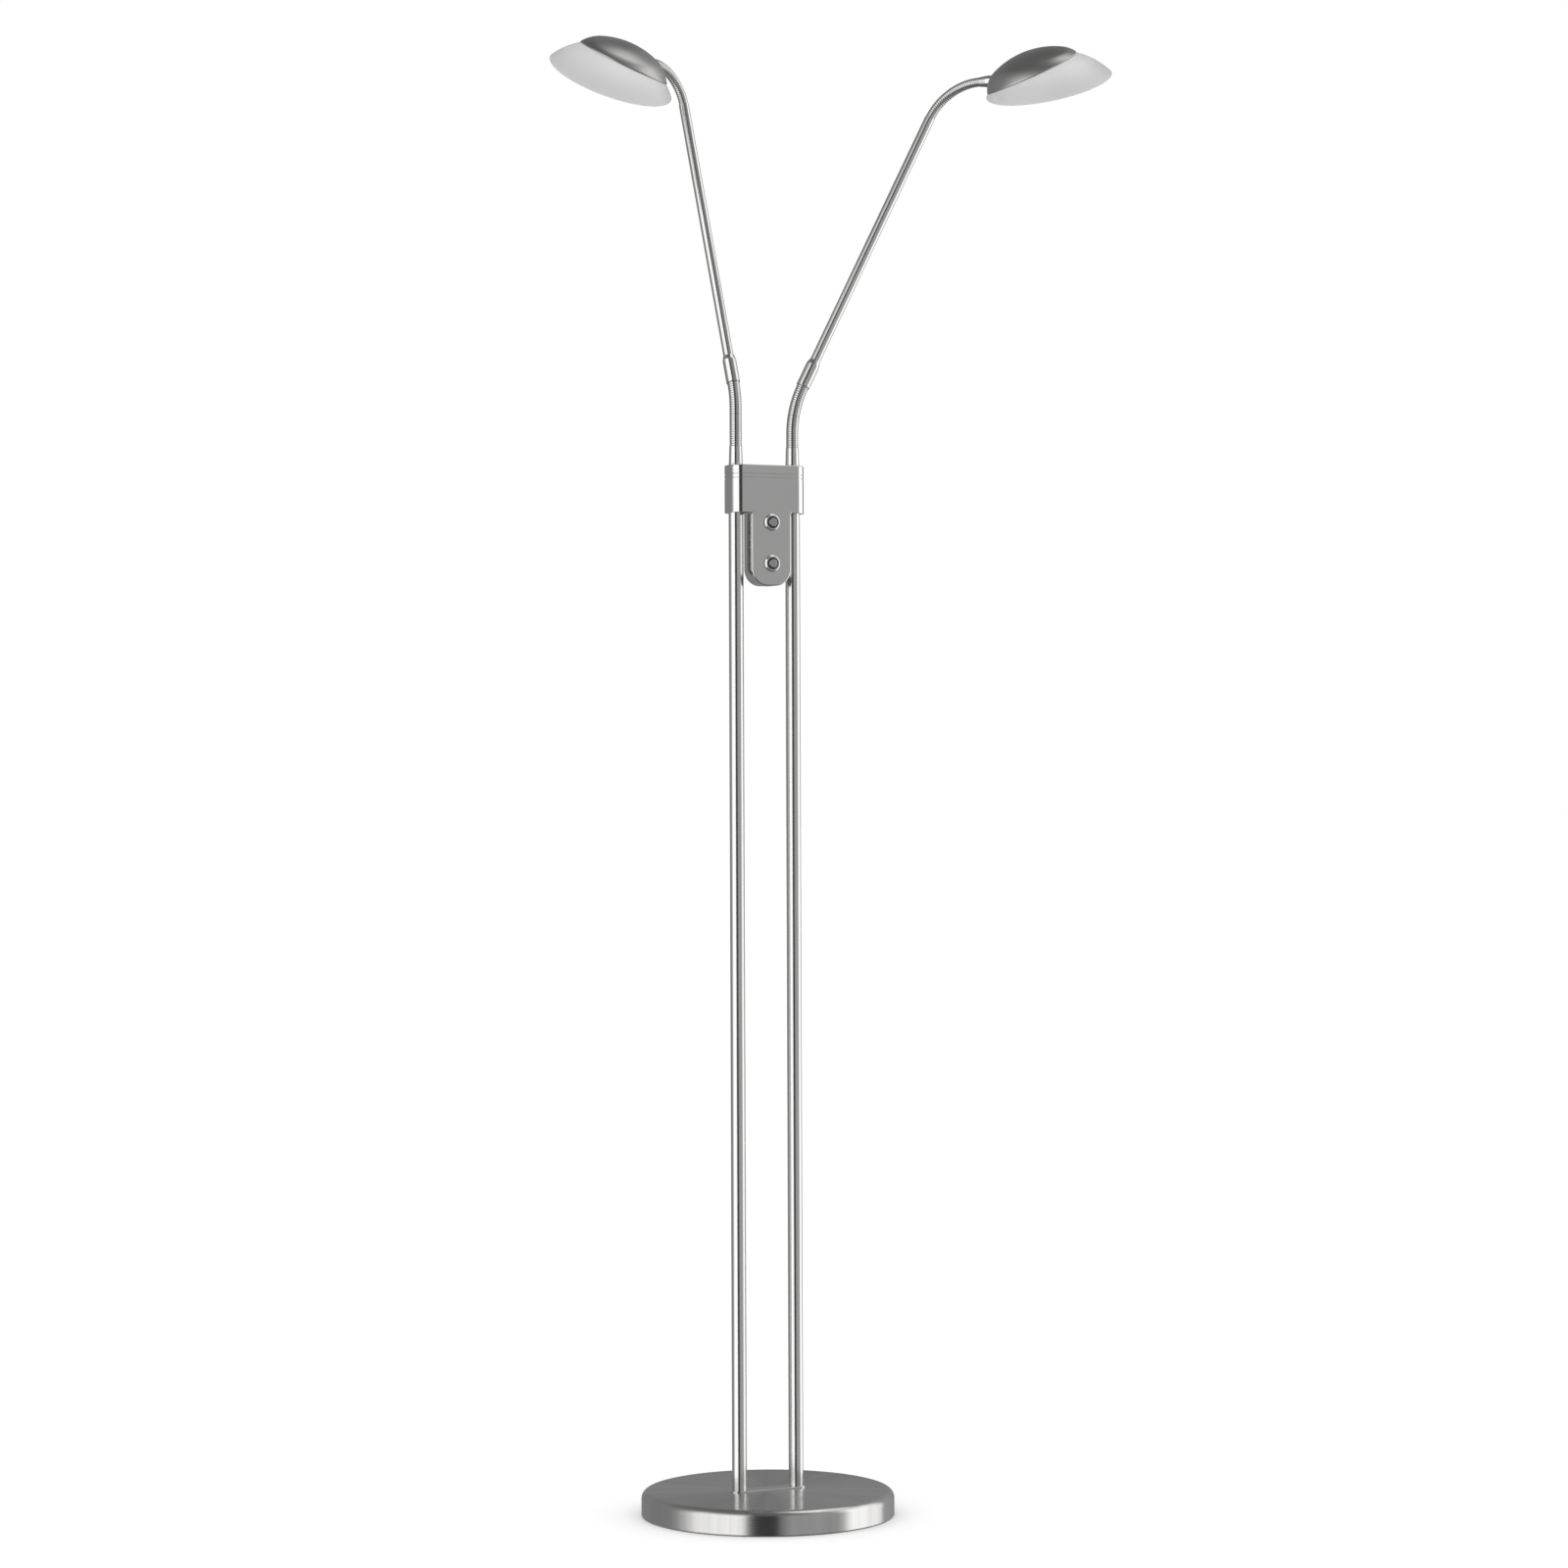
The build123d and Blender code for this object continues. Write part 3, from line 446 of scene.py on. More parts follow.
@dataclass(frozen=True)
class Finish:
    """A surface of the lamp and the record's slot that it belongs to.

    The key tells a finish from others in the same slot. Noise scales are per metre.
    """

    slot: str
    colour: tuple[float, float, float]
    roughness: float
    uneven: float = 0.06
    key: str = "_skin"
    mottle_scale: float = 60.0
    skin_scale: float = 1400.0
    skin_depth: float = 0.04

    def material(self) -> bpy.types.Material:
        """Returns the finish's material, made the first time it is asked for."""
        name = f"{self.slot}{self.key}"
        found = bpy.data.materials.get(name)
        if found is not None:
            return found
        made = bpy.data.materials.new(name)
        made.use_nodes = True
        bench = Bench(made.node_tree)
        shader = self.shade(bench)
        end = bench.tree.nodes.new("ShaderNodeOutputMaterial")
        bench.tree.links.new(shader.socket, end.inputs["Surface"])
        return made

    def shade(self, bench: Bench) -> Signal:
        """Returns the finish's shader: an even colour with soft mottling and a fine skin."""
        place = bench.place()
        broad = bench.noise(place, self.mottle_scale, 3.0)
        fine = bench.noise(place, self.skin_scale, 2.0)
        return bench.surface({
            "Base Color": bench.tone(self.colour, 1.0 - self.uneven + broad * (2 * self.uneven)),
            "Roughness": self.roughness - self.uneven + fine * (2 * self.uneven),
            "Normal": bench.bump(0.25, self.skin_depth * MM, fine),
        })


@dataclass(frozen=True)
class Paper(Finish):
    """The studio's white floor, lit a little from below so that it meets the backdrop unseen."""

    glow: float = 0.07

    def shade(self, bench: Bench) -> Signal:
        """Returns matt white with a faint glow."""
        return bench.surface({
            "Base Color": (*self.colour, 1.0),
            "Roughness": self.roughness,
            "Specular IOR Level": 0.0,
            "Emission Color": (1.0, 1.0, 1.0, 1.0),
            "Emission Strength": self.glow,
        })


@dataclass(frozen=True)
class BrushedMetal(Finish):
    """Plated or bare metal with fine lines, slight tarnish and small scuffs.

    The scales of the lines are per millimetre of the piece's own map: close together across the
    lines and far apart along them. The painted sheen is broad rays about the Z axis: lighter and darker
    wedges in the colour that stand in for the reflections on a spun disc, and that also vary its gloss.
    """

    grain: Grain = Grain.EVEN
    stretch: float = 0.0
    line_depth: float = 0.006
    line_tone: float = 0.05
    line_gloss: float = 0.10
    turn: float = 0.0
    painted_sheen: float = 0.0
    sheen_gloss: float = 0.4
    sheen_scale: float = 5.5
    tarnish_scale: float = 14.0
    scuff_scale: float = 420.0
    scuff_gloss: float = 0.06
    mapped: bool = True

    @property
    def line_scales(self) -> tuple[float, float, float]:
        """The scales of the lines around, along and out of the piece's map."""
        across, along, even = 2.6, 0.03, 1.7
        scales = {Grain.AROUND: (along, across), Grain.ALONG: (across, along), Grain.EVEN: (even, even)}
        return (*scales[self.grain], 1.0)

    def shade(self, bench: Bench) -> Signal:
        """Returns metal whose lines vary its colour, gloss and height along its own map."""
        place = bench.place()
        spot = bench.own_map() if self.mapped else bench.stretched(place, (1 / MM, 1 / MM, 1 / MM))
        lines = bench.noise(bench.stretched(spot, self.line_scales), 1.0, 4.0, 0.7)
        tarnish = (bench.noise(place, self.tarnish_scale, 3.0) - 0.5) * self.uneven
        scuffs = bench.noise(place, self.scuff_scale, 1.0).step(0.72, 0.8)
        tone = 1.0 - self.line_tone + lines * (2 * self.line_tone) + tarnish
        gloss = self.roughness + (lines - 0.5) * self.line_gloss + tarnish + scuffs * self.scuff_gloss
        if self.painted_sheen:
            # Painted sheen: broad lighter and darker wedges about the Z axis, painted into the colour in
            # place of the reflections on a spun disc.
            sheen_wedge = (bench.noise(bench.bearing(place), self.sheen_scale, 5.0, 0.65) - 0.5) * self.painted_sheen
            tone = tone + sheen_wedge
            gloss = gloss - sheen_wedge * self.sheen_gloss
        return bench.surface({
            "Base Color": bench.tone(self.colour, tone),
            "Metallic": 1.0,
            "Roughness": gloss,
            "Anisotropic": self.stretch,
            "Anisotropic Rotation": self.turn,
            "Normal": bench.bump(0.6, self.line_depth * MM, lines),
        })


@dataclass(frozen=True)
class SatinGlass(Finish):
    """Frosted glass: soft and faintly cloudy, with a painted glow that makes it lighter near the crown,
    standing in for a soft highlight and for light from the tray and diffuser behind it.

    The painted glow fades between two distances from the crown over the glass, in millimetres.
    """

    painted_glow_start: float = 34.0
    painted_glow_end: float = 72.0
    painted_glow_tone: float = 0.22

    def shade(self, bench: Bench) -> Signal:
        """Returns satin glass whose cloudiness varies softly, made lighter near the crown by a painted
        glow.
        """
        place = bench.place()
        cloud = bench.noise(place, 22.0, 3.0, 0.55)
        frost = bench.noise(place, 2600.0, 2.0)
        outward = bench.node("ShaderNodeSeparateXYZ", {}, {0: bench.own_map()}, "Y")
        # Painted glow: the glass is lighter near the crown and fades towards the rim, standing in for a
        # soft highlight and for light from the tray and diffuser behind it.
        painted_glow = 1.0 - outward.step(self.painted_glow_start, self.painted_glow_end)
        return bench.surface({
            "Base Color": bench.tone(self.colour, 0.90 + cloud * 0.08 + painted_glow * self.painted_glow_tone),
            "Roughness": self.roughness + (frost - 0.5) * 0.12,
            "IOR": 1.5,
            "Subsurface Weight": 0.35,
            "Subsurface Radius": (1.0, 1.0, 1.0),
            "Subsurface Scale": 0.006,
            "Coat Weight": 0.12,
            "Coat Roughness": 0.25,
            "Normal": bench.bump(0.2, 0.03 * MM, frost),
        })


NICKEL = (0.76, 0.755, 0.75)
TUBE_NICKEL = BrushedMetal("satin_nickel", NICKEL, 0.17, grain=Grain.ALONG, line_tone=0.03, key="_tube")
RING_NICKEL = BrushedMetal("satin_nickel", NICKEL, 0.16, grain=Grain.AROUND, line_tone=0.03, key="_ring")
HOSE_NICKEL = replace(RING_NICKEL, colour=(0.68, 0.675, 0.67), roughness=0.12, line_tone=0.04, key="_hose")
CAST_NICKEL = BrushedMetal("satin_nickel", NICKEL, 0.13, line_tone=0.015, line_depth=0.003, key="_cast")
# The spun base carries a painted sheen: radial wedges of lighter and darker colour that stand in for
# reflections.
BASE_NICKEL = BrushedMetal(
    "satin_nickel", (0.66, 0.655, 0.65), 0.24, grain=Grain.AROUND, line_tone=0.10, key="_spun",
    stretch=0.85, turn=0.25, painted_sheen=0.55,
)
CAP_METAL = BrushedMetal(
    "brushed_grey_metal", (0.50, 0.495, 0.49), 0.34, grain=Grain.ALONG, stretch=0.5, line_tone=0.08
)
CHROME = BrushedMetal(
    "polished_chrome", (0.82, 0.82, 0.82), 0.07, grain=Grain.AROUND, line_tone=0.01, line_depth=0.001
)
BUTTON = BrushedMetal("grey_button", (0.52, 0.52, 0.52), 0.25, grain=Grain.AROUND, line_tone=0.03)
GLASS = SatinGlass("frosted_glass", (0.60, 0.605, 0.60), 0.42)
OPAL = Finish("white_diffuser", (0.88, 0.88, 0.86), 0.5, 0.02)
PLAIN_FINISHES = (
    RING_NICKEL, CAP_METAL, CHROME, BUTTON, GLASS, OPAL,
    BrushedMetal("plain_steel", (0.58, 0.58, 0.575), 0.32),
    BrushedMetal("plain_aluminium", (0.70, 0.71, 0.72), 0.35),
    Finish("led_phosphor", (0.86, 0.74, 0.32), 0.55),
    Finish("circuit_board", (0.80, 0.82, 0.78), 0.45),
    Finish("black_plastic", (0.022, 0.022, 0.024), 0.42),
    Finish("black_rubber", (0.028, 0.028, 0.03), 0.75),
    Finish("raw_iron", (0.05, 0.05, 0.053), 0.65),
)


def add_piece(
    name: str, grid: np.ndarray, ends: Ends, finish: Finish, body: str, *nodes: str, hub_shift: float = 0.0
) -> None:
    """Makes a piece with its finish, its body and the nodes that it stands for.

    Args:
        name: The piece's name.
        grid: Its points, passed on to make_mesh with ends and hub_shift.
        ends: How its first and last rings are finished.
        finish: Its finish.
        body: The body that it moves with.
        nodes: The nodes that it stands for.
        hub_shift: How far above the middle of an end ring its fan meets.
    """
    piece = make_mesh(name, grid, ends, hub_shift)
    piece.data.materials.append(finish.material())
    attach(piece, body)
    if nodes:
        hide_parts(*nodes)
    log.info("%s: %d faces on %s", piece.name, len(piece.data.polygons), body)


def spin(
    node: str, corners: Corners, around: int, place: Place, finish: Finish, body: str = "stand"
) -> None:
    """Turns a rounded outline about a place's Z axis into the piece that stands for one node.

    An outline that starts near the axis is capped there, and any other closes on itself.

    Args:
        node: The node's name.
        corners: Radius, height and rounding of each corner.
        around: Points in each ring.
        place: Where the outline is turned.
        finish: The piece's finish.
        body: The body that it moves with.
    """
    ends = Ends.CAPPED if corners[0][0] <= AXIS_GAP else Ends.LOOPED
    outline = rounded(corners, looped=ends is Ends.LOOPED)
    add_piece(f"{node}_skin", place.put(turned(outline, around)), ends, finish, body, node)


# sub-assemblies


@dataclass
class Base:
    """The round weighted base."""

    radius: float = 129.0
    height: float = 25.5
    edge_radius: float = 8.0
    wall: float = 1.5
    lift: float = 1.0
    around: int = 256
    plate_length: float = 83.5
    plate_width: float = 18.5
    plate_thickness: float = 1.5

    def build(self) -> None:
        """Makes the spun cover and the foot plate of the poles."""
        inner = self.radius - self.wall
        under = self.height - self.wall
        outline = rounded(
            [
                (AXIS_GAP, self.height, 0), (self.radius, self.height, self.edge_radius),
                (self.radius, self.lift, 0.5), (inner, self.lift, 0.5),
                (inner, under, self.edge_radius - self.wall), (AXIS_GAP, under, 0),
            ],
            looped=False,
            steps=12,
        )
        flat = np.linspace(AXIS_GAP, self.radius - self.edge_radius - 1, 12)[:, None]
        top = np.concatenate([flat, np.full_like(flat, self.height)], 1)
        outline = np.concatenate([top, outline[1:]])
        cover = turned(outline, self.around)
        add_piece("base_cover_skin", cover, Ends.CAPPED, BASE_NICKEL, "stand", "base_cover")
        reach = (self.plate_length - self.plate_width) / 2
        rim = joined_arcs(((reach, 0.0), (-reach, 0.0)), -np.pi / 2, self.plate_width / 2, 24)
        crown = self.height + self.plate_thickness
        rows = [(-3.0, self.height, 0), (0, self.height, 0.1), (0, crown, 0.5), (-3.0, crown, 0)]
        plate = offset_rows(rim, rounded(rows, looped=False))
        add_piece("foot_plate_skin", plate, Ends.CAPPED, CAST_NICKEL, "stand", "foot_plate")


def joined_arcs(
    centres: Sequence[tuple[float, float]], start: float, radius: float, steps: int
) -> np.ndarray:
    """The outline of a block with round ends or corners, with the normals.

    Equal arcs about the centres in turn make up one full turn, and straight lines join them.

    Args:
        centres: The arcs' centres.
        start: The angle where the first arc starts.
        radius: Of every arc.
        steps: Segments in each arc.

    Returns:
        Points and outward normals, as two coordinates and two coordinates.
    """
    arcs = []
    for index, centre in enumerate(centres):
        angle = start + (index + np.linspace(0, 1, steps + 1)) * TAU / len(centres)
        out = np.stack([np.cos(angle), np.sin(angle)], -1)
        arcs.append(np.concatenate([np.array(centre) + out * radius, out], -1))
    share = np.array([0.02, 0.5, 0.98])[:, None]
    ring = []
    for arc, beyond in zip(arcs, arcs[1:] + arcs[:1]):
        ring += [arc, arc[-1] * (1 - share) + beyond[0] * share]
    return np.concatenate(ring)


def offset_rows(outline: np.ndarray, rows: np.ndarray) -> np.ndarray:
    """Stacks an outline: each row moves it outwards by an offset and up to a height."""
    flat = outline[None, :, :2] + outline[None, :, 2:] * rows[:, None, :1]
    height = np.broadcast_to(rows[:, None, 1:], (*flat.shape[:2], 1))
    return np.concatenate([flat, height], -1)


@dataclass
class Poles:
    """The two upright poles."""

    spacing: float = 64.0
    radius: float = 7.5
    wall: float = 1.0
    foot: float = 27.0
    top: float = 1050.7
    around: int = 64

    def build(self) -> None:
        """Makes both poles as pipes with eased ends."""
        outer, inner = self.radius, self.radius - self.wall
        low, high, eased = self.foot, self.top, 0.25
        outline = [(outer, low, eased), (outer, high, eased), (inner, high, eased), (inner, low, eased)]
        for side in Side:
            place = Place(np.array([side.sign * self.spacing / 2, 0.0, 0.0]), FLOOR.x_axis, UP)
            spin(f"{side.value}_pole", outline, self.around, place, TUBE_NICKEL)


@dataclass
class Collar:
    """The cast collar, its hanging control box and the two push buttons."""

    top: float = 1069.5
    height: float = 48.7
    length: float = 82.0
    width: float = 35.0
    corner_radius: float = 12.5
    groove_drops: tuple[float, float] = (9.4, 13.4)
    groove_width: float = 0.9
    groove_depth: float = 0.6
    box_width: float = 43.5
    box_drop: float = 74.0
    box_depth: float = 18.5
    box_corner: float = 17.0
    box_edge: float = 1.3
    face_inset: float = 1.6
    shoulder_radius: float = 2.6
    wing_reach: float = 3.0
    wing_rise: float = 6.0
    wing_sink: float = 0.6
    hub_rise: float = 3.0
    button_drops: tuple[float, float] = (9.8, 51.6)
    barrel_radius: float = 6.0
    barrel_proud: float = 3.0
    bezel_radius: float = 8.5
    bezel_thickness: float = 2.6
    button_radius: float = 4.4
    button_proud: float = 0.9
    button_length: float = 7.5

    @property
    def bottom(self) -> float:
        """The height of the collar's lower edge."""
        return self.top - self.height

    @property
    def front(self) -> float:
        """Where the flat front face lies along Y."""
        return -self.width / 2

    def build(self) -> None:
        """Makes the collar and its box as one housing, then both buttons."""
        self.build_band()
        self.build_box()
        for name, drop in zip(("upper", "lower"), self.button_drops):
            self.build_button(name, self.bottom - drop)

    def build_band(self) -> None:
        """Makes the collar's band: a block outline stacked along a profile with two grooves."""
        x = self.length / 2 - self.corner_radius
        y = self.width / 2 - self.corner_radius
        rim = joined_arcs(((x, y), (-x, y), (-x, -y), (x, -y)), 0.0, self.corner_radius, 16)
        inset = 8.0
        profile = [(-inset, self.bottom, 0), (0, self.bottom, 0.6)]
        for drop in reversed(self.groove_drops):
            low, high = self.top - drop - self.groove_width / 2, self.top - drop + self.groove_width / 2
            profile += [
                (0, low, 0.25), (-self.groove_depth, low, 0.12), (-self.groove_depth, high, 0.12),
                (0, high, 0.25),
            ]
        profile += [(0, self.top, 1.2), (-inset, self.top, 0)]
        band = offset_rows(rim, rounded(profile, looped=False))
        add_piece("collar_band", band, Ends.CAPPED, CAST_NICKEL, "stand", "collar_housing")

    def build_box(self) -> None:
        """Makes the box: a U outline with flared shoulders, stacked from its front to its rear.

        The outline runs on as two wings above the collar's lower edge. They sink a little into the
        collar, and each face is a fan about a point between the wings, which sees the whole outline.
        """
        half, low, high = self.box_width / 2, self.bottom - self.box_drop, self.bottom + self.wing_rise
        wing = half + self.shoulder_radius + self.wing_reach
        side = [
            (-wing, high, 0), (-wing, self.bottom, 0), (-half, self.bottom, self.shoulder_radius),
            (-half, low, self.box_corner),
        ]
        outline = rounded(side + [(-x, z, radius) for x, z, radius in reversed(side)], steps=10)
        ahead = np.roll(outline, -1, 0) - outline
        ahead /= np.linalg.norm(ahead, axis=1)[:, None]
        ahead += np.roll(ahead, 1, 0)
        out = np.stack([ahead[:, 1], -ahead[:, 0]], -1)
        out /= np.linalg.norm(out, axis=1)[:, None]
        front = self.front - FLUSH_GAP
        rear = front + self.box_depth
        inset = -self.face_inset
        rows = rounded(
            [(inset, front, 0), (0, front, self.box_edge), (0, rear, 0.3), (inset, rear, 0)], looped=False
        )
        grid = offset_rows(np.concatenate([outline, out], -1), rows)[..., [0, 2, 1]]
        wings = (np.abs(grid[..., 0]) > half + 1.0) & (grid[..., 2] > self.bottom + 0.8)
        grid[..., 1] += self.wing_sink * wings
        hub_shift = self.bottom + self.hub_rise - grid[0, :, 2].mean()
        add_piece("control_box", grid, Ends.CAPPED, CAST_NICKEL, "stand", hub_shift=hub_shift)

    def build_button(self, name: str, height: float) -> None:
        """Makes one bezel and its button, turned about an axis that points forwards."""
        place = Place(np.array([0.0, self.front, height]), FLOOR.x_axis, np.array([0.0, -1.0, 0.0]))
        bore = self.barrel_radius + 0.05
        face = self.bezel_thickness
        bezel = [
            (bore, FLUSH_GAP, 0), (self.bezel_radius, FLUSH_GAP, 0.15),
            (self.bezel_radius, face - 1.2, 0.3), (self.bezel_radius - 1.3, face, 0.3),
            (bore, face, 0.3),
        ]
        spin(f"{name}_bezel", bezel, 64, place, CHROME)
        end = self.barrel_proud + self.button_proud
        foot = end - self.button_length
        push = [
            (AXIS_GAP, foot, 0), (self.button_radius, foot, 0.2), (self.button_radius, end, 0.6),
            (AXIS_GAP, end, 0),
        ]
        spin(f"{name}_button", push, 48, place, BUTTON, f"{name}_push")


@dataclass
class Arm:
    """One arm: ferrule, lower gooseneck, sleeve, tube, tip and upper gooseneck."""

    side: Side
    straight: float
    lean_x: float
    lean_y: float
    heading: float
    pitch: float
    roll: float
    pole_x: float = 32.0
    collar_top: float = 1069.5
    ferrule_length: float = 19.5
    ferrule_foot: float = 7.4
    ferrule_top: float = 6.5
    lower_radius: float = 6.2
    lower_length: float = 65.0
    upper_radius: float = 4.8
    upper_length: float = 69.0
    flex_wall: float = 2.2
    bore_gap: float = 1.0
    rib_height: float = 0.55
    rib_pitch: float = 2.3
    sleeve_length: float = 25.0
    sleeve_radius: float = 7.0
    sleeve_cone: float = 5.0
    tube_radius: float = 5.25
    tube_length: float = 287.7
    tube_wall: float = 1.0
    tube_reach: float = 20.0
    neck_length: float = 13.0
    neck_height: float = 10.0
    neck_x: float = -65.8
    lower: Bend = field(init=False)
    upper: Bend = field(init=False)
    head_up: np.ndarray = field(init=False)

    def __post_init__(self) -> None:
        """Works out both bends and the head's frame from the arm's lean and the head's aim."""
        lean = np.tan(np.radians([self.lean_x, self.lean_y]))
        along = unit(np.array([*lean, 1.0]))
        root = np.array([self.side.sign * self.pole_x, 0.0, self.collar_top + self.ferrule_length])
        self.lower = Bend(root + UP * self.straight, UP, along, self.lower_length - self.straight)
        heading, pitch, roll = np.radians([self.heading, self.pitch, self.roll])
        ahead = np.array([np.cos(heading), np.sin(heading), 0.0])
        forward = ahead * np.cos(pitch) + UP * np.sin(pitch)
        level = UP * np.cos(pitch) - ahead * np.sin(pitch)
        self.head_up = level * np.cos(roll) + np.cross(forward, level) * np.sin(roll)
        reach = self.sleeve_length + self.sleeve_cone + self.tube_length
        tip = self.lower.place(self.lower.length).rise(reach)
        self.upper = Bend(tip.origin, along, forward, self.upper_length)

    @property
    def head_place(self) -> Place:
        """The head's frame: its origin is the middle of the shade's rim."""
        forward = self.upper.end_direction
        neck_end = self.upper.points(np.array(self.upper_length))
        origin = neck_end + forward * (self.neck_length - self.neck_x) - self.head_up * self.neck_height
        return Place(origin, forward, self.head_up)

    def build(self) -> None:
        """Makes every piece of the arm up to the head."""
        name = self.side.value
        self.build_metal(name)
        low, high = ("stand", "neck", "arm"), ("arm", "head_neck", "head")
        self.build_flex(name, "lower", self.lower, -self.straight, self.lower_radius, low)
        self.build_flex(name, "upper", self.upper, 0.0, self.upper_radius, high)

    def build_metal(self, name: str) -> None:
        """Makes the tapered ferrule on the collar, the tube, and the sleeve at the tube's foot."""
        place = Place(self.lower.start - UP * (self.ferrule_length + self.straight), FLOOR.x_axis, UP)
        lip = 1.4
        bore = self.lower_radius - self.flex_wall - self.bore_gap
        outline = [
            (bore, -0.5, 0), (self.ferrule_foot, 0.0, 0.2),
            (self.ferrule_foot - 0.1, lip, 0.2), (self.ferrule_foot - 0.35, lip + 0.3, 0.1),
            (self.ferrule_top, self.ferrule_length, 0.45), (bore, self.ferrule_length, 0),
        ]
        spin(f"{name}_lower_ferrule", outline, 64, place, RING_NICKEL)
        place = self.lower.place(self.lower.length)
        cone_end = self.sleeve_length + self.sleeve_cone
        outline = [
            (bore, 0.0, 0), (self.sleeve_radius, 0.0, 0.5),
            (self.sleeve_radius, self.sleeve_length, 0.8), (self.tube_radius + 0.4, cone_end, 0.25),
            (bore, cone_end, 0),
        ]
        spin(f"{name}_arm_sleeve", outline, 64, place, RING_NICKEL, f"{name}_arm")
        foot, end = cone_end - self.tube_reach, cone_end + self.tube_length
        outer, inner = self.tube_radius, self.tube_radius - self.tube_wall
        pipe = [(outer, foot, 0.2), (outer, end, 0.45), (inner, end, 0.2), (inner, foot, 0.2)]
        spin(f"{name}_arm_tube", pipe, 56, place, TUBE_NICKEL, f"{name}_arm")

    def build_flex(
        self, name: str, level: str, bend: Bend, begin: float, radius: float, bodies: tuple[str, str, str]
    ) -> None:
        """Makes both halves of a gooseneck as ribbed hoses.

        The radius along the hose is valley + rib height times (1 - (2 f - 1)^6) to the 0.8th
        power, where f runs from 0 to 1 over each rib: a broad flat crest and a narrow groove.

        Args:
            name: The arm's name.
            level: Which gooseneck.
            bend: Its centre line.
            begin: Where the gooseneck begins along that line, which is straight before the arc.
            radius: Its outer radius.
            bodies: The bodies before, between and after its two halves.
        """
        half = (bend.length - begin) / 2
        first, middle, last = (body if body == "stand" else f"{name}_{body}" for body in bodies)
        for letter, foot, pair in (("a", begin, (first, middle)), ("b", begin + half, (middle, last))):
            ribs = round(half / self.rib_pitch)
            share = np.array(RIB_STOPS)
            crest = (1 - (2 * share - 1) ** 6) ** 0.8
            steps = (np.arange(ribs)[:, None] + share).ravel()
            outer = radius - self.rib_height * (1 - np.tile(crest, ribs))
            distance = np.append(steps, ribs) * half / ribs + foot
            outer = np.append(outer, radius - self.rib_height)
            back = np.linspace(foot + half, foot, ribs + 1)
            bore = np.full_like(back, radius - self.flex_wall)
            grid = swept(bend, np.concatenate([distance, back]), np.concatenate([outer, bore]), 40)
            hose = make_mesh(f"{name}_{level}_flex_{letter}_skin", grid, Ends.LOOPED)
            hose.data.materials.append(HOSE_NICKEL.material())
            start, end = (tuple(bend.points(np.array(spot)) * MM) for spot in (foot, foot + half))
            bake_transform(hose)
            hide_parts(f"{name}_{level}_flex_{letter}")
            log.info("%s bends between %s and %s", hose.name, *pair)


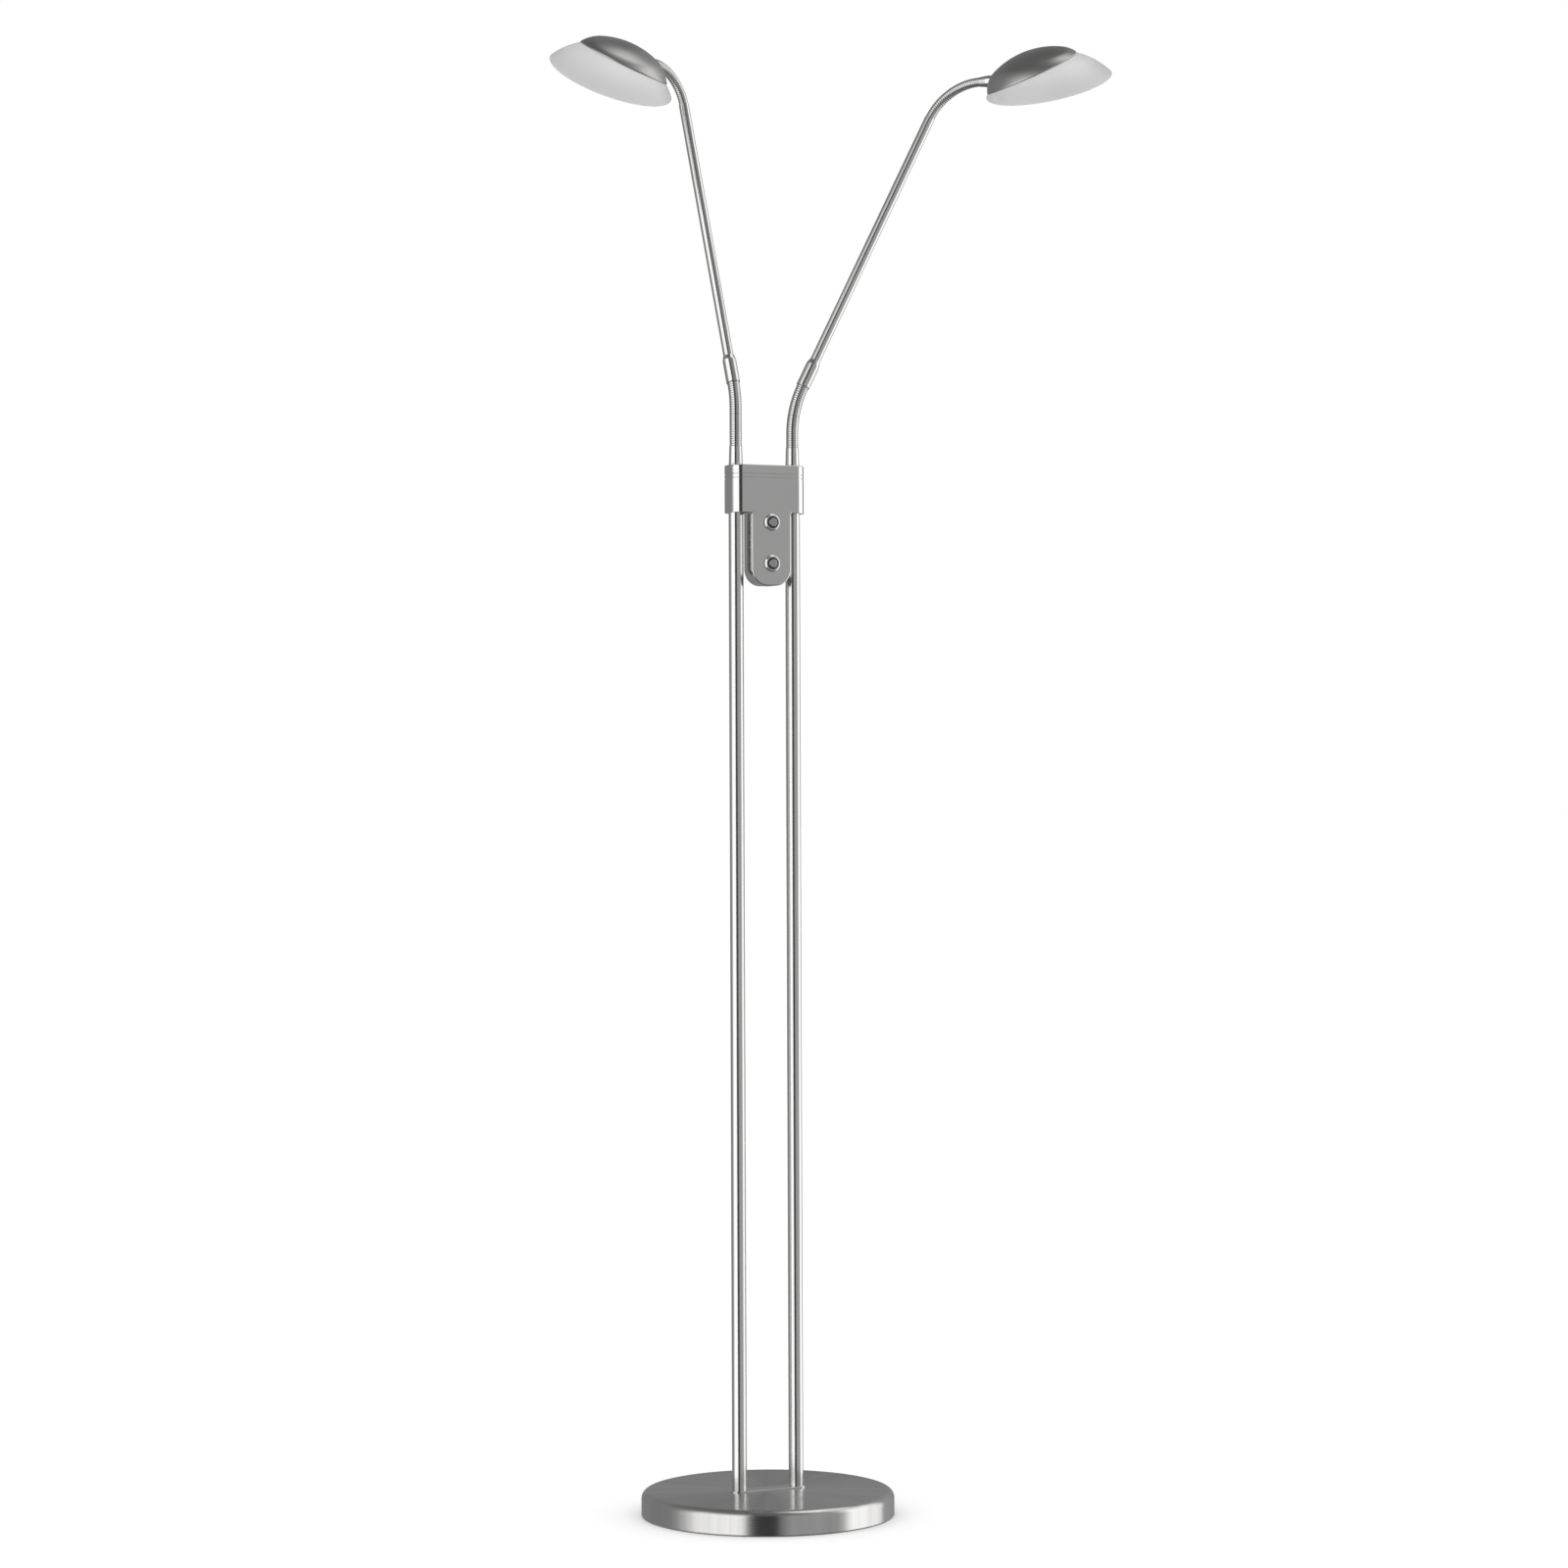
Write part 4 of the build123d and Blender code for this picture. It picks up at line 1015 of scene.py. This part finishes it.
@dataclass
class Head:
    """One lamp head: neck ferrule, metal cap, satin glass shade and diffuser."""

    side: Side
    place: Place
    neck_x: float = -65.8
    neck_height: float = 10.0
    neck_length: float = 13.0
    neck_radius: float = 6.0
    neck_start_radius: float = 4.85
    neck_gap: float = 0.3
    shoulder_foot: float = 5.0
    shoulder_slant: float = 0.45
    rim_radius: float = 66.2
    shade_height: float = 34.8
    glass_wall: float = 3.0
    glass_lip: float = 1.35
    dome_x: float = -4.4
    dome_top: float = 39.1
    dome_radius: float = 85.4
    cap_radius: float = 48.6
    cap_x: float = -17.2
    cap_wall: float = 1.2
    glass_gap: float = 0.3
    shoulder_pull: float = 18.0
    knee_share: float = 0.48
    rear_share: float = 0.6
    lip: float = 0.9
    cup_radius: float = 40.0
    cup_bottom: float = 11.5
    cup_top: float = 19.0
    cup_wall: float = 1.6

    @property
    def glass_radius(self) -> float:
        """The radius of the shade's outer sphere, from its rim and height."""
        return (self.rim_radius**2 + self.shade_height**2) / (2 * self.shade_height)

    def build(self) -> None:
        """Makes the visible pieces of the head."""
        self.build_glass()
        self.build_cap()
        self.build_neck()
        self.build_cup()

    def add(self, name: str, node: str, grid: np.ndarray, finish: Finish, ends: Ends = Ends.CAPPED) -> None:
        """Adds a piece that moves with the head and stands for a node with another name."""
        side = self.side.value
        add_piece(f"{side}_{name}_skin", grid, ends, finish, f"{side}_head", f"{side}_{node}")

    def build_glass(self) -> None:
        """Makes the shade: two arcs about one centre, joined by a rounded rim, turned about Z."""
        outer, inner = self.glass_radius, self.glass_radius - self.glass_wall
        centre = self.shade_height - outer
        rim_angle = np.arcsin(-centre / outer)
        inner_angle = np.arcsin(-centre / inner)
        turn = np.linspace(np.pi / 2 - CROWN_GAP, rim_angle + self.glass_lip / outer, 48)
        outside = np.stack([outer * np.cos(turn), centre + outer * np.sin(turn)], -1)
        turn = np.linspace(inner_angle + self.glass_lip / inner, np.pi / 2 - CROWN_GAP, 48)
        inside = np.stack([inner * np.cos(turn), centre + inner * np.sin(turn)], -1)
        first, last = outside[-1], inside[0]
        bulge = np.linspace(0, np.pi, 11)[1:-1, None]
        middle, arm = (first + last) / 2, (first - last) / 2
        drop = np.array([0.0, middle[1]])
        rim = middle + arm * np.cos(bulge) - drop * np.sin(bulge)
        grid = turned(np.concatenate([outside, rim, inside]), 160)
        self.add("glass", "glass_dish", self.place.put(grid), GLASS)

    def cap_side(self, rho: np.ndarray, angle: np.ndarray, radius: float, centre: np.ndarray) -> np.ndarray:
        """Heights at which upright lines about the cap's axis meet a sphere.

        With a and b a line's distances from the sphere's centre along X and Y, it meets the sphere
        at z = centre + sqrt(radius^2 - a^2 - b^2).
        """
        spot = self.cap_points(rho, angle, np.zeros(np.broadcast(rho, angle).shape)) - centre
        return centre[2] + np.sqrt(radius**2 - spot[..., 0] ** 2 - spot[..., 1] ** 2)

    def cap_points(self, rho: np.ndarray, angle: np.ndarray, height: np.ndarray) -> np.ndarray:
        """Points about the cap's axis: x = cap_x + rho cos t, y = rho sin t, z = height."""
        rho, angle, height = np.broadcast_arrays(rho, angle, height)
        return np.stack([self.cap_x + rho * np.cos(angle), rho * np.sin(angle), height], -1)

    def cap_rows(self, wall: float, around: int) -> np.ndarray:
        """The cap's skin at one wall depth, from its crown over its shoulder to its foot.

        At each angle the profile is the dome's arc, then a quadratic curve that rounds down to a
        short upright lip above the glass. The curve is pulled in less where the side is low, and
        it ends upright at the rear, where the neck meets the cap.

        Args:
            wall: How far inside the outer skin this one lies.
            around: Points in each ring.

        Returns:
            A grid of points: row, ring, coordinate.
        """
        angle = np.arange(around) * TAU / around
        radius = self.cap_radius - wall
        dome = np.array([self.dome_x, 0.0, self.dome_top - self.dome_radius])
        glass = np.array([0.0, 0.0, self.shade_height - self.glass_radius])
        edge = self.cap_side(np.full(around, radius), angle, self.dome_radius - wall, dome)
        foot = self.cap_side(np.full(around, radius), angle, self.glass_radius + self.glass_gap, glass)
        drop = edge - foot - self.lip
        slanted = np.clip((np.cos(angle) + 1) / self.rear_share, 0, 1)
        pull = np.minimum(self.shoulder_pull * (0.6 + 0.4 * slanted), 3.0 * drop + 4.0)
        share = np.linspace(0.0, 1.0, 26)[:, None] ** 0.8
        rho_top = 0.05 + share * (radius - pull - 0.05)
        top = self.cap_side(rho_top, angle, self.dome_radius - wall, dome)
        knee_in = self.knee_share * pull * slanted
        slope = (top[-1] - top[-2]) / (rho_top[-1] - rho_top[-2])
        knee = top[-1] + slope * (pull - knee_in)
        step = np.linspace(0, 1, 17)[1:, None]
        before, between, after = (1 - step) ** 2, 2 * step * (1 - step), step**2
        rho_turn = before * (radius - pull) + between * (radius - knee_in) + after * radius
        turn = before * top[-1] + between * knee + after * (edge - drop)
        down = np.linspace(0, 1, 5)[1:, None]
        side = (edge - drop) * (1 - down) + foot * down
        rho = np.concatenate([rho_top, rho_turn, np.full(side.shape, radius)])
        return self.cap_points(rho, angle, np.concatenate([top, turn, side]))

    def build_cap(self) -> None:
        """Makes the cap as an outer and an inner skin that meet at its foot."""
        around = 160
        grid = np.concatenate([self.cap_rows(0.0, around), self.cap_rows(self.cap_wall, around)[::-1]])
        self.add("cap", "head_cap", self.place.put(grid), CAP_METAL)

    def build_neck(self) -> None:
        """Makes the ferrule between the upper gooseneck and the cap, turned about the head's X axis.

        Its end reaches further forward near its top, where the cap's shoulder rounds away, in
        step with the height above the foot of that shoulder.
        """
        forward = self.place.x_axis
        root = self.place.put(np.array([self.neck_x - self.neck_length, 0.0, self.neck_height]))
        way = Place(root, self.place.z_axis, forward)
        bore = self.neck_start_radius - 2.9
        end = self.neck_length - self.neck_gap
        outline = [
            (bore, 0.0, 0), (self.neck_start_radius + 0.1, 0.0, 0.35), (self.neck_radius, 9.0, 0.6),
            (self.neck_radius, end, 0.2), (bore, end, 0),
        ]
        grid = turned(rounded(outline), 56)
        reach = self.shoulder_slant * np.maximum(self.neck_height + grid[..., 0] - self.shoulder_foot, 0)
        grid[..., 2] += np.where(grid[..., 2] > end - 0.6, reach, 0)
        self.add("neck", "neck_ferrule", way.put(grid), RING_NICKEL, Ends.LOOPED)

    def build_cup(self) -> None:
        """Makes the opal diffuser, an open cup that faces down, turned about Z."""
        outer, inner = self.cup_radius, self.cup_radius - self.cup_wall
        low, high, floor = self.cup_bottom, self.cup_top, self.cup_bottom + self.cup_wall
        outline = [
            (AXIS_GAP, low, 0), (outer, low, 1.6), (outer, high, 0.3), (inner, high, 0.3),
            (inner, floor, 0.4), (AXIS_GAP, floor, 0),
        ]
        side = self.side.value
        spin(f"{side}_diffuser", outline, 96, self.place, OPAL, f"{side}_head")


# studio


@dataclass
class Studio:
    """The plain studio: pale floor, soft surrounding light and the camera."""

    azimuth: float = -26.0
    distance: float = 4215.0
    eye_height: float = 745.0
    side_step: float = 19.1
    roll: float = 0.0037
    frame_width: float = 1600.0
    sensor: float = 36.0
    overhead: tuple[float, float] = (0.5, 0.82)
    underfoot: tuple[float, float] = (0.35, 0.8)
    key_range: tuple[float, float] = (0.90, 0.995)
    key_glow: float = 1.1
    sky_glow: float = 0.16
    ground_glow: float = 0.12
    even_glow: float = 1.03

    @property
    def back(self) -> np.ndarray:
        """The level direction from the lamp to the camera."""
        angle = np.radians(self.azimuth)
        return np.array([np.sin(angle), -np.cos(angle), 0.0])

    @property
    def right(self) -> np.ndarray:
        """The level direction to the right in the picture."""
        angle = np.radians(self.azimuth)
        return np.array([np.cos(angle), np.sin(angle), 0.0])

    def build(self) -> None:
        """Makes the floor, the surrounding light and the camera."""
        self.build_floor()
        self.build_light()
        self.build_camera()

    def build_floor(self) -> None:
        """Makes a wide pale floor."""
        reach = 60.0
        corners = [(-reach, -reach, 0), (reach, -reach, 0), (reach, reach, 0), (-reach, reach, 0)]
        mesh = bpy.data.meshes.new("studio_floor")
        mesh.from_pydata(corners, [], [(0, 1, 2, 3)])
        floor = bpy.data.objects.new("studio_floor", mesh)
        bpy.context.scene.collection.objects.link(floor)
        mesh.materials.append(Paper("studio_floor", (0.96, 0.96, 0.96), 0.9, 0.0).material())
        floor.visible_glossy = False

    def build_light(self) -> None:
        """Makes the surrounding light: soft panels to the sides for gloss, even light for the rest.

        The bands are stops of a bearing in degrees, from 0 towards the camera to 90 at its right,
        and a brightness. They fade to the sky overhead, with one soft key, and to a dark ground.
        """
        world = bpy.data.worlds.new("studio")
        bpy.context.scene.world = world
        world.use_nodes = True
        bench = Bench(world.node_tree)
        way = bench.node("ShaderNodeTexCoord", {}, {}, "Generated")
        height = bench.node("ShaderNodeSeparateXYZ", {}, {0: way}, "Z")
        turn = bench.dot(way, self.right).math("ARCTAN2", bench.dot(way, self.back)) * (1 / TAU) + 0.5
        bands = (
            (-180, 0.25), (-100, 0.27), (-88, 0.45), (-78, 0.8), (-70, 1.35), (-22, 1.35), (-17, 0.2),
            (-12, 0.05), (8, 0.05), (14, 0.3), (20, 0.40), (70, 0.40), (78, 1.0), (82, 1.4), (124, 1.3),
            (130, 0.4), (180, 0.25),
        )
        stops = [((angle + 180) / 360, (glow,) * 3) for angle, glow in bands]
        around = bench.node("ShaderNodeValToRGB", {"stops": stops}, {0: turn})
        key_way = unit(0.42 * self.right - 0.10 * self.back + 0.9 * UP)
        sky = bench.dot(way, key_way).step(*self.key_range) * self.key_glow + self.sky_glow
        ground = (self.ground_glow, self.ground_glow, self.ground_glow, 1.0)
        level = bench.mix((height * -1.0).step(*self.underfoot), around, ground)
        gloss = bench.mix(height.step(*self.overhead), level, bench.grey(sky))
        path = bench.tree.nodes.new("ShaderNodeLightPath")
        camera_ray = Signal(bench, path.outputs["Is Camera Ray"])
        diffuse_ray = Signal(bench, path.outputs["Is Diffuse Ray"])
        even = bench.grey(diffuse_ray * self.even_glow + camera_ray)
        colour = bench.mix(camera_ray.math("MAXIMUM", diffuse_ray), gloss, even)
        light = bench.node("ShaderNodeBackground", {}, {"Color": colour, "Strength": 1.0})
        end = bench.tree.nodes.new("ShaderNodeOutputWorld")
        bench.tree.links.new(light.socket, end.inputs["Surface"])
        bpy.context.scene.view_settings.view_transform = "Standard"

    def build_camera(self) -> None:
        """Places the camera level, in front and to the left, with its lens from the distance."""
        data = bpy.data.cameras.new("camera")
        data.sensor_width = self.sensor
        data.lens = self.sensor * self.distance / self.frame_width
        data.clip_end = 200.0
        camera = bpy.data.objects.new("camera", data)
        bpy.context.scene.collection.objects.link(camera)
        spot = self.back * self.distance + self.right * self.side_step + UP * self.eye_height
        x_axis = self.right * np.cos(self.roll) - UP * np.sin(self.roll)
        y_axis = UP * np.cos(self.roll) + self.right * np.sin(self.roll)
        basis = np.eye(4)
        basis[:3, 0], basis[:3, 1], basis[:3, 2], basis[:3, 3] = x_axis, y_axis, self.back, spot * MM
        camera.matrix_world = Matrix(basis.tolist())
        bpy.context.scene.camera = camera


def dress_plain_nodes(nodes: dict[str, bpy.types.Object], record: dict) -> None:
    """Gives every node that keeps its own shape the finish of its slot in the record.

    Args:
        nodes: The nodes by name.
        record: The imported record.
    """
    finishes = {finish.slot: finish for finish in PLAIN_FINISHES}
    for part in record["subparts"]:
        finish = replace(finishes[part["material_slot"]], key="_node")
        if isinstance(finish, BrushedMetal):
            finish = replace(finish, mapped=False)
        mesh = nodes[part["node"]].data
        mesh.materials.clear()
        mesh.materials.append(finish.material())


def main() -> None:
    """Builds the lamp's skins in order, then the studio."""
    logging.basicConfig(level=logging.INFO, format="%(name)s %(message)s")
    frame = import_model()
    dress_plain_nodes(frame["nodes"], frame["record"])
    Base().build()
    Poles().build()
    Collar().build()
    arms = (
        Arm(Side.LEFT, straight=38.0, lean_x=-1.0, lean_y=19.7, heading=-144.1, pitch=-13.5, roll=-29.4),
        Arm(Side.RIGHT, straight=13.5, lean_x=26.9, lean_y=-1.9, heading=-57.7, pitch=-1.5, roll=25.3),
    )
    for arm in arms:
        arm.build()
        Head(arm.side, arm.head_place).build()
    Studio().build()


if __name__ == "__main__":
    main()
